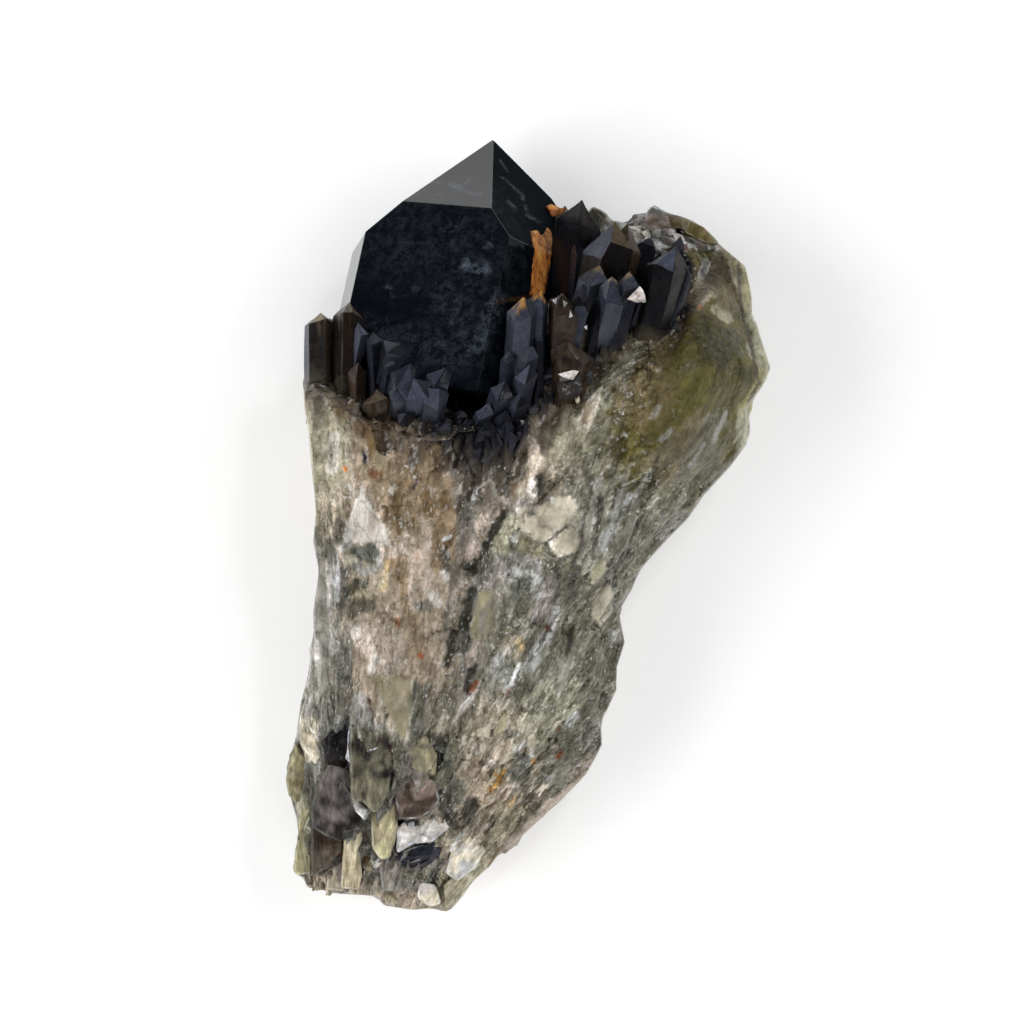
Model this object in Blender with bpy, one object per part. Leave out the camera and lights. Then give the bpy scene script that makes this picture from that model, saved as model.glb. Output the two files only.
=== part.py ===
"""A smoky quartz cluster: one near-black main crystal and a druse of smaller ones on a fan-shaped quartz root.

The specimen lies on its back, as a loose stone that can't stand on its broken end does.
+X is the viewer's right, +Y runs from the broken end to the crystals' tips, and +Z points up, at the viewer.
The origin is at the middle of the bounding box in X and Y, on the surface that the stone rests on.
"""

import math

import bmesh
import bpy
from mathutils import Matrix, Vector, noise

# Millimetres below, and metres in Blender
MM = 0.001

# Quartz: the pyramid faces lean 38.2 degrees from the long axis, so their normals stand 51.8 degrees from it
PYRAMID_NORMAL_FROM_AXIS = math.radians(51.8)
FACES_ROUND = 6

# The whole stone
SEED_OFFSET = Vector((13.7, 4.1, 27.3))

# Fibres radiate from this point below the broken end
FAN_X = -30.5
FAN_Y = -80.0
FAN_REACH = 80.0

# Each row of a body: y, left edge, right edge, lowest z, highest z. The two bodies overlap down the whole root, and
# the shallow valley where they cross is the dark groove
TRUNK_ROWS = (
    (-57.6, -34.6, -18.0, 5.0, 18.0),
    (-54.0, -36.2, -13.0, 1.5, 22.0),
    (-49.6, -36.2, -10.0, 0.0, 25.0),
    (-42.0, -37.0, -8.0, -1.5, 28.5),
    (-35.6, -36.8, -7.0, -1.5, 30.0),
    (-26.3, -34.6, -5.5, -1.5, 31.5),
    (-14.7, -33.4, -4.5, -1.5, 33.5),
    (-5.4, -33.2, -2.0, -1.0, 35.0),
    (3.9, -33.0, 3.0, 0.0, 37.5),
    (13.2, -33.6, 9.0, 1.0, 41.0),
    (21.7, -34.2, 14.0, 3.0, 43.0),
    (28.0, -34.0, 14.0, 6.0, 42.0),
    (31.5, -33.0, 13.0, 8.0, 39.0),
)
FAN_ROWS = (
    (-59.8, -22.6, -11.0, 6.0, 17.0),
    (-56.6, -27.0, -8.6, 2.5, 21.5),
    (-51.8, -28.0, -3.6, 0.5, 24.0),
    (-44.9, -28.0, 3.6, -1.0, 26.5),
    (-38.0, -26.0, 10.2, -1.5, 28.5),
    (-31.0, -24.0, 12.6, -1.5, 30.5),
    (-19.4, -20.0, 15.0, -1.5, 32.5),
    (-13.2, -18.0, 15.2, -1.5, 33.5),
    (-5.4, -15.0, 19.4, -1.5, 35.0),
    (3.9, -11.0, 28.0, -1.0, 37.0),
    (12.4, -8.0, 35.0, 0.0, 39.0),
    (18.0, -5.0, 35.4, 1.0, 39.5),
    (24.0, -2.0, 38.6, 2.5, 38.5),
    (31.8, 0.0, 35.4, 4.5, 35.0),
    (38.8, 3.0, 34.2, 6.0, 31.0),
    (43.0, 7.0, 30.8, 7.5, 28.5),
    (46.6, 13.0, 26.0, 10.0, 25.0),
    (49.2, 17.6, 22.6, 14.0, 20.0),
)
RING_POINTS = 34
TRUNK_STEPS = 36
FAN_STEPS = 42
CROSS_SECTION_POWER = 2.8
FAN_RIM_THINNING = 0.42

# The crown that the druse grows from: the trunk ends in a plane that tips towards the viewer
CROWN_POINT = Vector((-10.0, 16.0, 40.0))
CROWN_NORMAL = Vector((0.05, 0.92, 0.38)).normalized()

# Main crystal: tip, axis, front prism face, each prism face's distance from the axis through the tip, and how far each
# pyramid face lies beyond the tip, which makes it smaller
MAIN_TIP = Vector((-5.3, 60.5, 9.6))
MAIN_AXIS = Vector((0.1975, 0.9389, -0.2820)).normalized()
MAIN_FRONT = Vector((-0.3044, 0.3322, 0.8927)).normalized()
MAIN_PRISM = (12.8, 16.2, 12.7, 10.8, 14.2, 17.1)
MAIN_PYRAMID_RISE = (0.0, 0.0, 7.0, 0.0, 1.5, 0.0)
MAIN_LENGTH = 52.0

# Side crystals: tip x, y, z; width; lean to the right and towards the viewer, and turn about the axis, in degrees;
# length; how uneven the pyramid is
SIDE_CRYSTALS = {
    "left_edge": (-32.3, 33.0, 26.0, 4.4, -1, 2, 24, 19, 0.35),
    "left_second": (-27.6, 34.0, 30.5, 5.2, 3, 4, 8, 20, 0.45),
    "left_third": (-24.6, 30.6, 33.5, 3.4, 0, 8, 40, 14, 0.3),
    "left_blade": (-21.6, 29.0, 36.4, 2.8, 2, 10, 15, 12, 0.2),
    "front_ledge_a": (-19.0, 25.2, 37.6, 3.4, 3, 16, 5, 12, 0.4),
    "front_ledge_b": (-15.4, 22.6, 41.6, 4.6, -4, 40, 30, 12, 0.5),
    "front_ledge_c": (-11.8, 23.2, 41.0, 3.8, 8, 34, 12, 12, 0.3),
    "front_brown": (-23.6, 19.8, 38.6, 4.4, 1, 16, 22, 8, 0.5),
    "front_middle": (-8.6, 25.6, 38.6, 3.6, 4, 18, 50, 13, 0.3),
    "front_low": (-11.0, 16.6, 43.0, 3.2, 6, 20, 10, 12, 0.4),
    "groove_long_a": (-2.4, 18.4, 43.6, 3.4, 33, 12, 25, 15, 0.5),
    "groove_long_b": (-4.8, 17.6, 42.6, 3.2, 32, 10, 5, 13, 0.2),
    "groove_long_c": (0.6, 16.0, 42.6, 2.8, 30, 12, 44, 12, 0.3),
    "stained_a": (-0.8, 35.0, 40.6, 4.2, 5, 2, 10, 19, 0.5),
    "stained_b": (1.8, 36.0, 39.4, 3.8, 3, 0, 36, 19, 0.3),
    "stained_foot": (1.2, 23.6, 42.4, 4.4, 24, 12, 20, 14, 0.4),
    "brown_block": (6.6, 34.2, 38.0, 7.6, 3, 4, 14, 22, 0.9),
    "brown_foot": (6.2, 23.0, 41.4, 5.6, 6, 24, 38, 9, 0.7),
    "right_tall": (8.3, 50.6, 27.0, 8.4, 6, 2, 36, 28, 0.35),
    "right_bright": (13.6, 46.8, 33.6, 8.2, 18, 24, 12, 20, 0.4),
    "right_dark": (22.6, 43.0, 34.0, 7.4, 10, 8, 32, 22, 0.5),
    "right_front": (13.2, 38.2, 41.0, 5.2, 9, 4, 4, 19, 0.4),
    "right_behind": (11.8, 40.2, 38.0, 4.6, 8, 4, 26, 18, 0.3),
    "right_small": (16.0, 39.0, 37.4, 4.2, 14, 6, 14, 15, 0.3),
    "right_broken": (8.0, 38.6, 35.0, 4.2, 5, 2, 48, 16, 0.6),
    "right_facet": (17.2, 37.2, 38.6, 3.8, 18, 42, 8, 12, 0.3),
    "back_small": (5.7, 49.6, 15.0, 3.0, 8, -10, 20, 16, 0.3),
}
SIDE_PRISM_UNEVEN = 0.16

# The druse: small crystals between the larger ones, in rows. Each row: count, first and last root point, lean to the
# right at each end, lean towards the viewer, width and length
DRUSE_ROWS = (
    (11, (-32.5, 24.0, 31.0), (1.0, 17.5, 42.5), (-4, 12), 14, 3.1, 10.0),
    (9, (-30.5, 17.0, 35.0), (-2.0, 11.5, 43.0), (-6, 14), 26, 2.7, 8.0),
    (7, (-32.0, 27.0, 23.0), (-26.0, 27.0, 8.0), (-6, -4), -4, 3.4, 9.0),
    (6, (-24.0, 27.0, 8.0), (-4.0, 26.0, 8.0), (-6, 6), -12, 3.8, 10.0),
    (8, (1.0, 20.0, 41.0), (19.0, 30.0, 37.0), (10, 22), 14, 3.0, 9.0),
    (8, (3.0, 27.0, 37.0), (23.0, 36.0, 33.0), (6, 20), 8, 3.4, 11.0),
    (6, (8.0, 38.0, 30.0), (22.0, 40.0, 28.0), (6, 22), 8, 3.4, 11.0),
    (5, (6.0, 41.0, 20.0), (17.0, 44.0, 22.0), (2, 16), 0, 3.6, 10.0),
)

# Natural relief of the root: strength in millimetres, and the size of the pattern across and along the fibres
RIDGE_DEPTH, RIDGE_WIDTH, RIDGE_RUN = 1.1, 4.0, 26.0
LEDGE_DEPTH, LEDGE_WIDTH, LEDGE_RUN = 1.5, 7.0, 17.0
LUMP_DEPTH, LUMP_SIZE = 1.1, 12.0

STONE_COLOUR = (0.27, 0.25, 0.19, 1.0)


def spread(centre, reach, strength):
    """One raised or sunk place on the root: where, how far it reaches along X, Y and Z, and how much it adds."""
    return Vector(centre), Vector(reach), strength


RAISED_PLACES = (
    spread((7.0, -3.0, 36.0), (6.5, 9.0, 9.0), 2.2),
    spread((0.0, -16.0, 34.0), (5.0, 13.0, 8.0), 1.4),
    spread((11.6, -10.5, 30.0), (3.4, 8.0, 9.0), 1.8),
    spread((27.0, 31.0, 34.0), (3.5, 14.0, 8.0), 2.0),
    spread((-20.5, -28.0, 30.0), (3.2, 9.0, 8.0), 1.3),
    spread((-8.5, -10.0, 35.0), (2.6, 24.0, 8.0), -1.8),
    spread((-29.0, -35.5, 28.0), (3.2, 4.4, 8.0), -2.4),
    spread((-17.0, -51.0, 24.0), (4.4, 3.0, 8.0), -2.2),
    spread((10.0, 39.0, 32.0), (9.0, 9.0, 12.0), -5.0),
)

# Flat faces left where pieces broke off: a point on each face, the direction it faces and how far it reaches.
# The first is the face that the stone rests on
BREAKS = (
    ((0.0, 0.0, 0.0), (0.0, 0.0, -1.0), 180.0),
    ((23.0, 42.5, 29.5), (-0.25, 0.66, 0.71), 20.0),
    ((35.4, 30.0, 29.0), (0.72, 0.14, 0.68), 22.0),
    ((34.0, 11.0, 30.0), (0.72, -0.44, 0.54), 18.0),
    ((8.5, -42.0, 24.0), (0.62, -0.42, 0.66), 16.0),
    ((-33.6, -8.0, 29.0), (-0.72, 0.05, 0.69), 24.0),
    ((-36.2, -38.0, 12.0), (-0.95, -0.10, -0.30), 20.0),
    ((-27.5, -54.0, 21.0), (-0.30, -0.66, 0.68), 14.0),
    ((-13.0, -54.5, 22.5), (0.10, -0.62, 0.78), 12.0),
    ((16.5, -14.0, 27.0), (0.80, -0.10, 0.60), 16.0),
    ((-8.0, -36.0, 29.4), (0.25, -0.25, 0.93), 14.0),
    ((-24.0, 0.0, 36.6), (-0.30, -0.10, 0.95), 18.0),
    ((10.0, 10.0, 38.4), (0.15, -0.20, 0.97), 16.0),
)

def clear_scene():
    for obj in list(bpy.data.objects):
        bpy.data.objects.remove(obj, do_unlink=True)


def stone_material():
    material = bpy.data.materials.new("smoky quartz")
    material.use_nodes = True
    shader = material.node_tree.nodes["Principled BSDF"]
    shader.inputs["Base Color"].default_value = STONE_COLOUR
    shader.inputs["Roughness"].default_value = 0.35
    shader.inputs["Metallic"].default_value = 0.0
    return material


def new_object(name, mesh, material):
    obj = bpy.data.objects.new(name, mesh)
    bpy.context.scene.collection.objects.link(obj)
    mesh.materials.append(material)
    return obj


def between_rows(rows, steps):
    """Rows spaced evenly in y on a smooth curve through the given ones."""
    found = []
    for step in range(steps + 1):
        along = step / steps * (len(rows) - 1)
        at = min(int(along), len(rows) - 2)
        t = along - at
        before, start, end, after = (rows[min(max(at + k, 0), len(rows) - 1)] for k in (-1, 0, 1, 2))
        found.append(
            tuple(
                0.5 * (2 * b + (c - a) * t + (2 * a - 5 * b + 4 * c - d) * t**2 + (3 * b - a - 3 * c + d) * t**3)
                for a, b, c, d in zip(before, start, end, after)
            )
        )
    return found


def along_fibres(point):
    """Distance across the fibres and along them, for a point of the root in millimetres."""
    dx, dy = point.x - FAN_X, point.y - FAN_Y
    return math.atan2(dx, dy) * FAN_REACH, math.hypot(dx, dy)


def relief(point):
    """How far the root's surface stands out at this point: ridges along the fibres, broken ledges, lumps and hollows."""
    across, along = along_fibres(point)
    ridge = noise.noise(Vector((across / RIDGE_WIDTH, along / RIDGE_RUN, point.z / RIDGE_WIDTH)) + SEED_OFFSET)
    cell = Vector((across / LEDGE_WIDTH, along / LEDGE_RUN, point.z / LEDGE_WIDTH)) + SEED_OFFSET
    nearest = noise.voronoi(cell)[1][0]
    tilt = noise.cell_vector(nearest * 7.3) - Vector((0.5, 0.5, 0.5))
    ledge = 0.6 * (noise.cell(nearest * 5.1) - 0.5) + tilt.dot(cell - nearest)
    lump = noise.noise(point / LUMP_SIZE + SEED_OFFSET)
    height = RIDGE_DEPTH * ridge + LEDGE_DEPTH * ledge + LUMP_DEPTH * lump
    for centre, reach, strength in RAISED_PLACES:
        away = Vector((point - centre)[k] / reach[k] for k in range(3)).length_squared
        height += strength * math.exp(-away)
    return height


def root_body(name, rows, steps, rim_thinning, material):
    """A closed body through rows of rounded cross-sections, roughened along its normals."""
    body = bmesh.new()
    rings = []
    for y, left, right, low, high in between_rows(rows, steps):
        middle, half, centre, depth = (left + right) / 2, (right - left) / 2, (low + high) / 2, (high - low) / 2
        ring = []
        for corner in range(RING_POINTS):
            angle = math.tau * corner / RING_POINTS
            side = math.copysign(abs(math.cos(angle)) ** (2 / CROSS_SECTION_POWER), math.cos(angle))
            rise = math.copysign(abs(math.sin(angle)) ** (2 / CROSS_SECTION_POWER), math.sin(angle))
            thinner = 1 - rim_thinning * max(side, 0) ** 2
            ring.append(body.verts.new((middle + half * side, y, centre + depth * rise * thinner)))
        rings.append(ring)
    for lower, upper in zip(rings, rings[1:]):
        for corner in range(RING_POINTS):
            following = (corner + 1) % RING_POINTS
            body.faces.new((lower[corner], upper[corner], upper[following], lower[following]))
    body.faces.new(rings[0])
    body.faces.new(reversed(rings[-1]))
    bmesh.ops.recalc_face_normals(body, faces=body.faces)
    body.normal_update()
    moved = {vert: vert.co + vert.normal * relief(vert.co) for vert in body.verts}
    for vert, place in moved.items():
        vert.co = place
    bmesh.ops.triangulate(body, faces=body.faces)
    return finish_mesh(name, body, material)


def finish_mesh(name, body, material):
    """The body as a Blender object, scaled from millimetres to metres."""
    bmesh.ops.scale(body, vec=Vector((MM, MM, MM)), verts=body.verts)
    mesh = bpy.data.meshes.new(name)
    body.to_mesh(mesh)
    body.free()
    return new_object(name, mesh, material)


def cut_flat(body, point, normal):
    """Removes what lies beyond a plane, and closes the cut with one flat face."""
    geometry = body.verts[:] + body.edges[:] + body.faces[:]
    made = bmesh.ops.bisect_plane(body, geom=geometry, plane_co=point, plane_no=normal, clear_outer=True)
    edges = [item for item in made["geom_cut"] if isinstance(item, bmesh.types.BMEdge)]
    if edges:
        bmesh.ops.contextual_create(body, geom=edges)


def crystal_body(tip, axis, front, prism, rise, length):
    """A quartz crystal: six prism faces about an axis, closed by six pyramid faces that meet at the tip."""
    body = bmesh.new()
    bmesh.ops.create_cube(body, size=2 * (length + max(prism)))
    bmesh.ops.translate(body, vec=tip - axis * length / 2, verts=body.verts)
    front = (front - axis * front.dot(axis)).normalized()
    for face in range(FACES_ROUND):
        outward = Matrix.Rotation(math.tau * face / FACES_ROUND, 3, axis) @ front
        cut_flat(body, tip + outward * prism[face], outward)
        slope = outward * math.sin(PYRAMID_NORMAL_FROM_AXIS) + axis * math.cos(PYRAMID_NORMAL_FROM_AXIS)
        cut_flat(body, tip + axis * rise[face], slope)
    cut_flat(body, tip - axis * length, -axis)
    bmesh.ops.recalc_face_normals(body, faces=body.faces)
    bmesh.ops.dissolve_degenerate(body, dist=1e-4, edges=body.edges)
    return body


def leaning(right, forward):
    """A unit axis that leans from +Y to the right and towards the viewer, in degrees."""
    right, forward = math.radians(right), math.radians(forward)
    return Vector((math.sin(right) * math.cos(forward), math.cos(right) * math.cos(forward), math.sin(forward)))


def small_crystal(name, tip, width, right, forward, turn, length, uneven, material):
    """A crystal whose faces are a little uneven, as every natural one's are."""
    axis = leaning(right, forward)
    across = axis.orthogonal().normalized()
    toward_viewer = Vector((0, 0, 1)) - axis * axis.z
    front = toward_viewer.normalized() if toward_viewer.length > 0.1 else across
    front = Matrix.Rotation(math.radians(turn), 3, axis) @ front
    sway = [noise.cell(tip + Vector((face * 3.7, 1.3, 0.7))) for face in range(FACES_ROUND)]
    prism = [width / 2 * (1 + SIDE_PRISM_UNEVEN * (2 * value - 1)) for value in sway]
    rise = [uneven * width / 2 * value * (face % 2) for face, value in enumerate(sway)]
    return finish_mesh(name, crystal_body(tip, axis, front, prism, rise, length), material)


def druse(material):
    """Rows of small crystals on the crown, each a little different from the last."""
    made = []
    for row, (count, first, last, leans, forward, width, length) in enumerate(DRUSE_ROWS):
        for number in range(count):
            share = number / (count - 1)
            sway = noise.cell_vector(Vector((row * 5.3 + 0.5, number * 1.7 + 0.5, 2.5)))
            foot = Vector(first).lerp(Vector(last), share) + (sway - Vector((0.5, 0.5, 0.5))) * 2.4
            right = leans[0] + (leans[1] - leans[0]) * share + 14 * (sway.x - 0.5)
            lean = forward + 16 * (sway.y - 0.5)
            size = width * (0.8 + 0.5 * sway.z)
            tip = foot + leaning(right, lean) * length * (0.35 + 0.3 * sway.x)
            made.append(small_crystal(f"druse_{row}_{number}", tip, size, right, lean, 60 * sway.y, length, 0.4, material))
    return made


def broken_away(material):
    """Blocks that stand just outside the break faces, to be cut from the root."""
    blocks = []
    for number, (point, direction, reach) in enumerate(BREAKS):
        outward = Vector(direction).normalized()
        body = bmesh.new()
        bmesh.ops.create_cube(body, size=reach)
        bmesh.ops.rotate(body, matrix=outward.to_track_quat("Z", "Y").to_matrix(), verts=body.verts)
        bmesh.ops.translate(body, vec=Vector(point) + outward * reach / 2, verts=body.verts)
        blocks.append(finish_mesh(f"break_{number}", body, material))
    return blocks


def combine(body, others, operation):
    """Unites the others with the body, or cuts them from it, one Boolean after another, and removes them."""
    for other in others:
        step = body.modifiers.new(other.name, "BOOLEAN")
        step.operation = operation
        step.solver = "EXACT"
        step.object = other
        bpy.context.view_layer.update()
        graph = bpy.context.evaluated_depsgraph_get()
        joined = bpy.data.meshes.new_from_object(body.evaluated_get(graph))
        body.modifiers.clear()
        body.data = joined
        bpy.data.objects.remove(other, do_unlink=True)


def fill_pockets(shape):
    """Keeps the outer surface only, so that no closed pocket is left between the crystals' feet."""
    unseen = set(shape.faces)
    surfaces = []
    while unseen:
        waiting = [unseen.pop()]
        surface = list(waiting)
        while waiting:
            for edge in waiting.pop().edges:
                for face in edge.link_faces:
                    if face in unseen:
                        unseen.remove(face)
                        surface.append(face)
                        waiting.append(face)
        surfaces.append(surface)
    outer = max(surfaces, key=len)
    for surface in surfaces:
        if surface is not outer:
            bmesh.ops.delete(shape, geom=surface, context="FACES")


def build():
    clear_scene()
    material = stone_material()

    trunk = root_body("smoky_quartz_cluster", TRUNK_ROWS, TRUNK_STEPS, 0.0, material)
    shape = bmesh.new()
    shape.from_mesh(trunk.data)
    cut_flat(shape, CROWN_POINT * MM, CROWN_NORMAL)
    bmesh.ops.triangulate(shape, faces=shape.faces)
    shape.to_mesh(trunk.data)
    shape.free()

    combine(trunk, [root_body("fan", FAN_ROWS, FAN_STEPS, FAN_RIM_THINNING, material)], "UNION")
    combine(trunk, broken_away(material), "DIFFERENCE")

    main_body = crystal_body(MAIN_TIP, MAIN_AXIS, MAIN_FRONT, MAIN_PRISM, MAIN_PYRAMID_RISE, MAIN_LENGTH)
    main = finish_mesh("main_crystal", main_body, material)
    sides = []
    for name, (x, y, z, width, right, forward, turn, length, uneven) in SIDE_CRYSTALS.items():
        sides.append(small_crystal(name, Vector((x, y, z)), width, right, forward, turn, length, uneven, material))
    combine(trunk, [main, *sides, *druse(material)], "UNION")

    shape = bmesh.new()
    shape.from_mesh(trunk.data)
    fill_pockets(shape)
    bmesh.ops.triangulate(shape, faces=shape.faces)
    wide = [vert.co.x for vert in shape.verts]
    long = [vert.co.y for vert in shape.verts]
    middle = Vector(((min(wide) + max(wide)) / 2, (min(long) + max(long)) / 2, 0.0))
    bmesh.ops.translate(shape, vec=-middle, verts=shape.verts)
    shape.to_mesh(trunk.data)
    shape.free()
    return trunk


stone = build()
print("triangles", len(stone.data.polygons), "size mm", [round(side / MM, 1) for side in stone.dimensions])
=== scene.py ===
# %% [markdown]
# # A smoky quartz cluster
# The stone is one natural piece: a large near-black crystal, a druse of small dark crystals, and the pale
# fibrous root that they all grew from. It lies on its back, and the camera looks straight down on it. The
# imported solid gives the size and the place. Its crystals and its root are made again here, finer, in eight
# pieces.

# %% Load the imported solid
import math
import random

import bpy
import numpy as np
from mathutils import Matrix, Vector, noise
from mathutils.bvhtree import BVHTree


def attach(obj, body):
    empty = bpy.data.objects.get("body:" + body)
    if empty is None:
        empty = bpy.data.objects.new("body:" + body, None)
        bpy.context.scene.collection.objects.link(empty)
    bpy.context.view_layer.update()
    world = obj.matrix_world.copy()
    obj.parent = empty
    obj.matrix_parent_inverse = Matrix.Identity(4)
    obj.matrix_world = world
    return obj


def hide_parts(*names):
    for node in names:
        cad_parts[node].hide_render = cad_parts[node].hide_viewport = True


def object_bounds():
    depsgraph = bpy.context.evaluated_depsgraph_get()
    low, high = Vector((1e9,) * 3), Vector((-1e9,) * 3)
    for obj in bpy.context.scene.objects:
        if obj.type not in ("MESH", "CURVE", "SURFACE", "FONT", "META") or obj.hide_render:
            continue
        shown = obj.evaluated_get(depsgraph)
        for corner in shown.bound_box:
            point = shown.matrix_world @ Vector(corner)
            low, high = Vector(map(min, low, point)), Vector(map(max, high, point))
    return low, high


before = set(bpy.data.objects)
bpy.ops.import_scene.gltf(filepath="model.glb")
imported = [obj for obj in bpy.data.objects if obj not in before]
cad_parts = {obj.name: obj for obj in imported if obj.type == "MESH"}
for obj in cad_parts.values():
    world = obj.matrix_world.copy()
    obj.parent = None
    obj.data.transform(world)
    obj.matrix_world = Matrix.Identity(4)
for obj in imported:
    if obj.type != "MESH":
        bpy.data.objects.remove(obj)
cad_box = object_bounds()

NODE = "smoky_quartz_cluster"
print("solid spans", [[round(value * 1000, 1) for value in corner] for corner in cad_box])

# %% [markdown]
# The tip of the main crystal is the highest point in Y, so it ties the pieces made here to the solid.
# Lengths below are in millimetres, because a hand specimen is easier to think of that way.

# %% One millimetre, and the shift to the solid's own origin
MM = 0.001
MAIN_TIP = Vector((-5.3, 60.5, 9.6))
solid_points = [vert.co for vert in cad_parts[NODE].data.vertices]
tip_found = max(solid_points, key=lambda place: place.y)
SHIFT = Vector((tip_found.x / MM - MAIN_TIP.x, tip_found.y / MM - MAIN_TIP.y, 0.0))
print("shift, mm", [round(value, 3) for value in SHIFT])

# %% [markdown]
# ## Camera and light
# The camera stands a metre above the stone, with a long lens, so that the picture has little perspective.
# One pixel of the 1024 pixel picture is 0.155 mm wide at a height of 22 mm, which is about the middle of
# the stone.

# %% Camera
PIXEL = 0.155
MID_HEIGHT = 22.0
CAMERA_DISTANCE = 1000.0
CAMERA_HEIGHT = CAMERA_DISTANCE + MID_HEIGHT
CAMERA_X, CAMERA_Y = -2.325, 2.015
MIDDLE_PIXEL = 512
SENSOR_WIDTH = 36.0


def seen_at(px, py, z):
    """The point at height z that the camera sees at this pixel, in millimetres."""
    reach = PIXEL * (CAMERA_HEIGHT - z) / CAMERA_DISTANCE
    return Vector((CAMERA_X + (px - MIDDLE_PIXEL) * reach, CAMERA_Y - (py - MIDDLE_PIXEL) * reach, z))


def spots(path):
    """The pixels of a path or an outline that is written as in an SVG file: 12,34 56,78."""
    return [tuple(float(number) for number in spot.split(",")) for spot in path.split()]


def pixel_of(place):
    """The pixel that the camera sees this place at."""
    reach = PIXEL * (CAMERA_HEIGHT - place.z) / CAMERA_DISTANCE
    return MIDDLE_PIXEL + (place.x - CAMERA_X) / reach, MIDDLE_PIXEL - (place.y - CAMERA_Y) / reach


camera_data = bpy.data.cameras.new("camera")
camera_data.sensor_width = SENSOR_WIDTH
camera_data.lens = SENSOR_WIDTH * CAMERA_DISTANCE / (2 * MIDDLE_PIXEL * PIXEL)
camera_data.clip_end = 10.0
camera = bpy.data.objects.new("camera", camera_data)
camera.location = (Vector((CAMERA_X, CAMERA_Y, CAMERA_HEIGHT)) + SHIFT) * MM
bpy.context.scene.collection.objects.link(camera)
bpy.context.scene.camera = camera
bpy.context.scene.view_settings.view_transform = "Standard"
print("lens", round(camera_data.lens, 1), "mm")

# %% [markdown]
# Every material here, and the room's light too, is a tree of nodes. These helpers keep the trees readable:
# each adds what one line of a drawing of the tree would show.

# %% Helpers for nodes


def plug(tree, node, **sockets):
    """Sets or links a node's inputs, each by its name, or by its number as i0, i1 and so on."""
    for key, value in sockets.items():
        socket = node.inputs[int(key[1:]) if key[0] == "i" and key[1:].isdigit() else key.replace("_", " ")]
        if isinstance(value, bpy.types.NodeSocket):
            tree.links.new(value, socket)
        else:
            socket.default_value = value


def put(tree, kind, settings=None, **sockets):
    """Adds a node, sets its properties, and sets or links its inputs."""
    made = tree.nodes.new(kind)
    for key, value in (settings or {}).items():
        setattr(made, key, value)
    plug(tree, made, **sockets)
    return made


def math_of(tree, operation, *values, clamp=False):
    """A Math node's result."""
    inputs = {f"i{number}": value for number, value in enumerate(values)}
    return put(tree, "ShaderNodeMath", {"operation": operation, "use_clamp": clamp}, **inputs).outputs[0]


def times(tree, first, second):
    return math_of(tree, "MULTIPLY", first, second)


def plus(tree, first, second):
    return math_of(tree, "ADD", first, second)


def vector_math(tree, operation, **sockets):
    return put(tree, "ShaderNodeVectorMath", {"operation": operation}, **sockets).outputs[0]


def stored(tree, layer, output="Fac"):
    """What a piece's points store under this name."""
    return put(tree, "ShaderNodeAttribute", {"attribute_name": layer}).outputs[output]


def mixed(tree, share, first, second, blend="MIX"):
    """Two colours mixed by a share from 0 to 1."""
    first, second = ((*value, 1) if isinstance(value, tuple) else value for value in (first, second))
    kind = {"data_type": "RGBA", "blend_type": blend}
    return put(tree, "ShaderNodeMix", kind, i0=share, i6=first, i7=second).outputs[2]


def remap(tree, value, low, high, new_low=0.0, new_high=1.0):
    """A value's range spread to another, and clamped."""
    ends = {"From_Min": low, "From_Max": high, "To_Min": new_low, "To_Max": new_high}
    return put(tree, "ShaderNodeMapRange", Value=value, **ends).outputs["Result"]


def colour_ramp(tree, value, *stops):
    """A value turned into a colour. Each stop is a position and its red, green and blue."""
    made = put(tree, "ShaderNodeValToRGB", Fac=value)
    elements = made.color_ramp.elements
    elements[0].position, elements[1].position = stops[0][0], stops[-1][0]
    elements[0].color, elements[1].color = (*stops[0][1], 1), (*stops[-1][1], 1)
    for position, colour in stops[1:-1]:
        elements.new(position).color = (*colour, 1)
    return made.outputs["Color"]


def scaled(tree, vector, across_mm, along_mm, seed):
    """A vector scaled so that patterns in it get this width and length, and moved by the seed."""
    size = (1 / across_mm, 1 / along_mm, 1 / across_mm)
    moved = (seed, seed * 1.7, seed * 0.6)
    return put(tree, "ShaderNodeMapping", Vector=vector, Scale=size, Location=moved).outputs[0]


def stretched(tree, vector, across_mm, along_mm, detail=3.0, roughness=0.6, seed=0.0, distortion=0.0):
    """Noise whose patches are so wide and so long, in the vector's own units."""
    sized = scaled(tree, vector, across_mm, along_mm, seed)
    look = {"Detail": detail, "Roughness": roughness, "Distortion": distortion}
    return put(tree, "ShaderNodeTexNoise", Vector=sized, Scale=1.0, **look).outputs["Fac"]


def cells(tree, vector, across_mm, along_mm, seed, feature="F1"):
    """A pattern of cells so wide and so long, as a node that gives each cell's colour and distances."""
    sized = scaled(tree, vector, across_mm, along_mm, seed)
    return put(tree, "ShaderNodeTexVoronoi", {"feature": feature}, Vector=sized, Scale=1.0)


def new_material(name):
    """A material, its tree and its main shader."""
    material = bpy.data.materials.new(name)
    material.use_nodes = True
    return material, material.node_tree, material.node_tree.nodes["Principled BSDF"]


# %% [markdown]
# A glossy dark crystal is a mirror: what it shows is what stands round it. The front face tips up and to
# the left, and it is nearly black, so that side of the room stays dark. The faces that turn away see the
# pale floor, and shine.

# %% Floor
bpy.ops.object.select_all(action="DESELECT")
bpy.ops.mesh.primitive_plane_add(size=6.0, location=(0, 0, 0))
floor = bpy.context.object
floor.name = "floor"
paper, tree, shader = new_material("pale paper")
plug(tree, shader, Base_Color=(0.86, 0.86, 0.86, 1), Roughness=0.9)
plug(tree, shader, Emission_Color=(1, 1, 1, 1), Emission_Strength=0.28)
floor.data.materials.append(paper)

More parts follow.
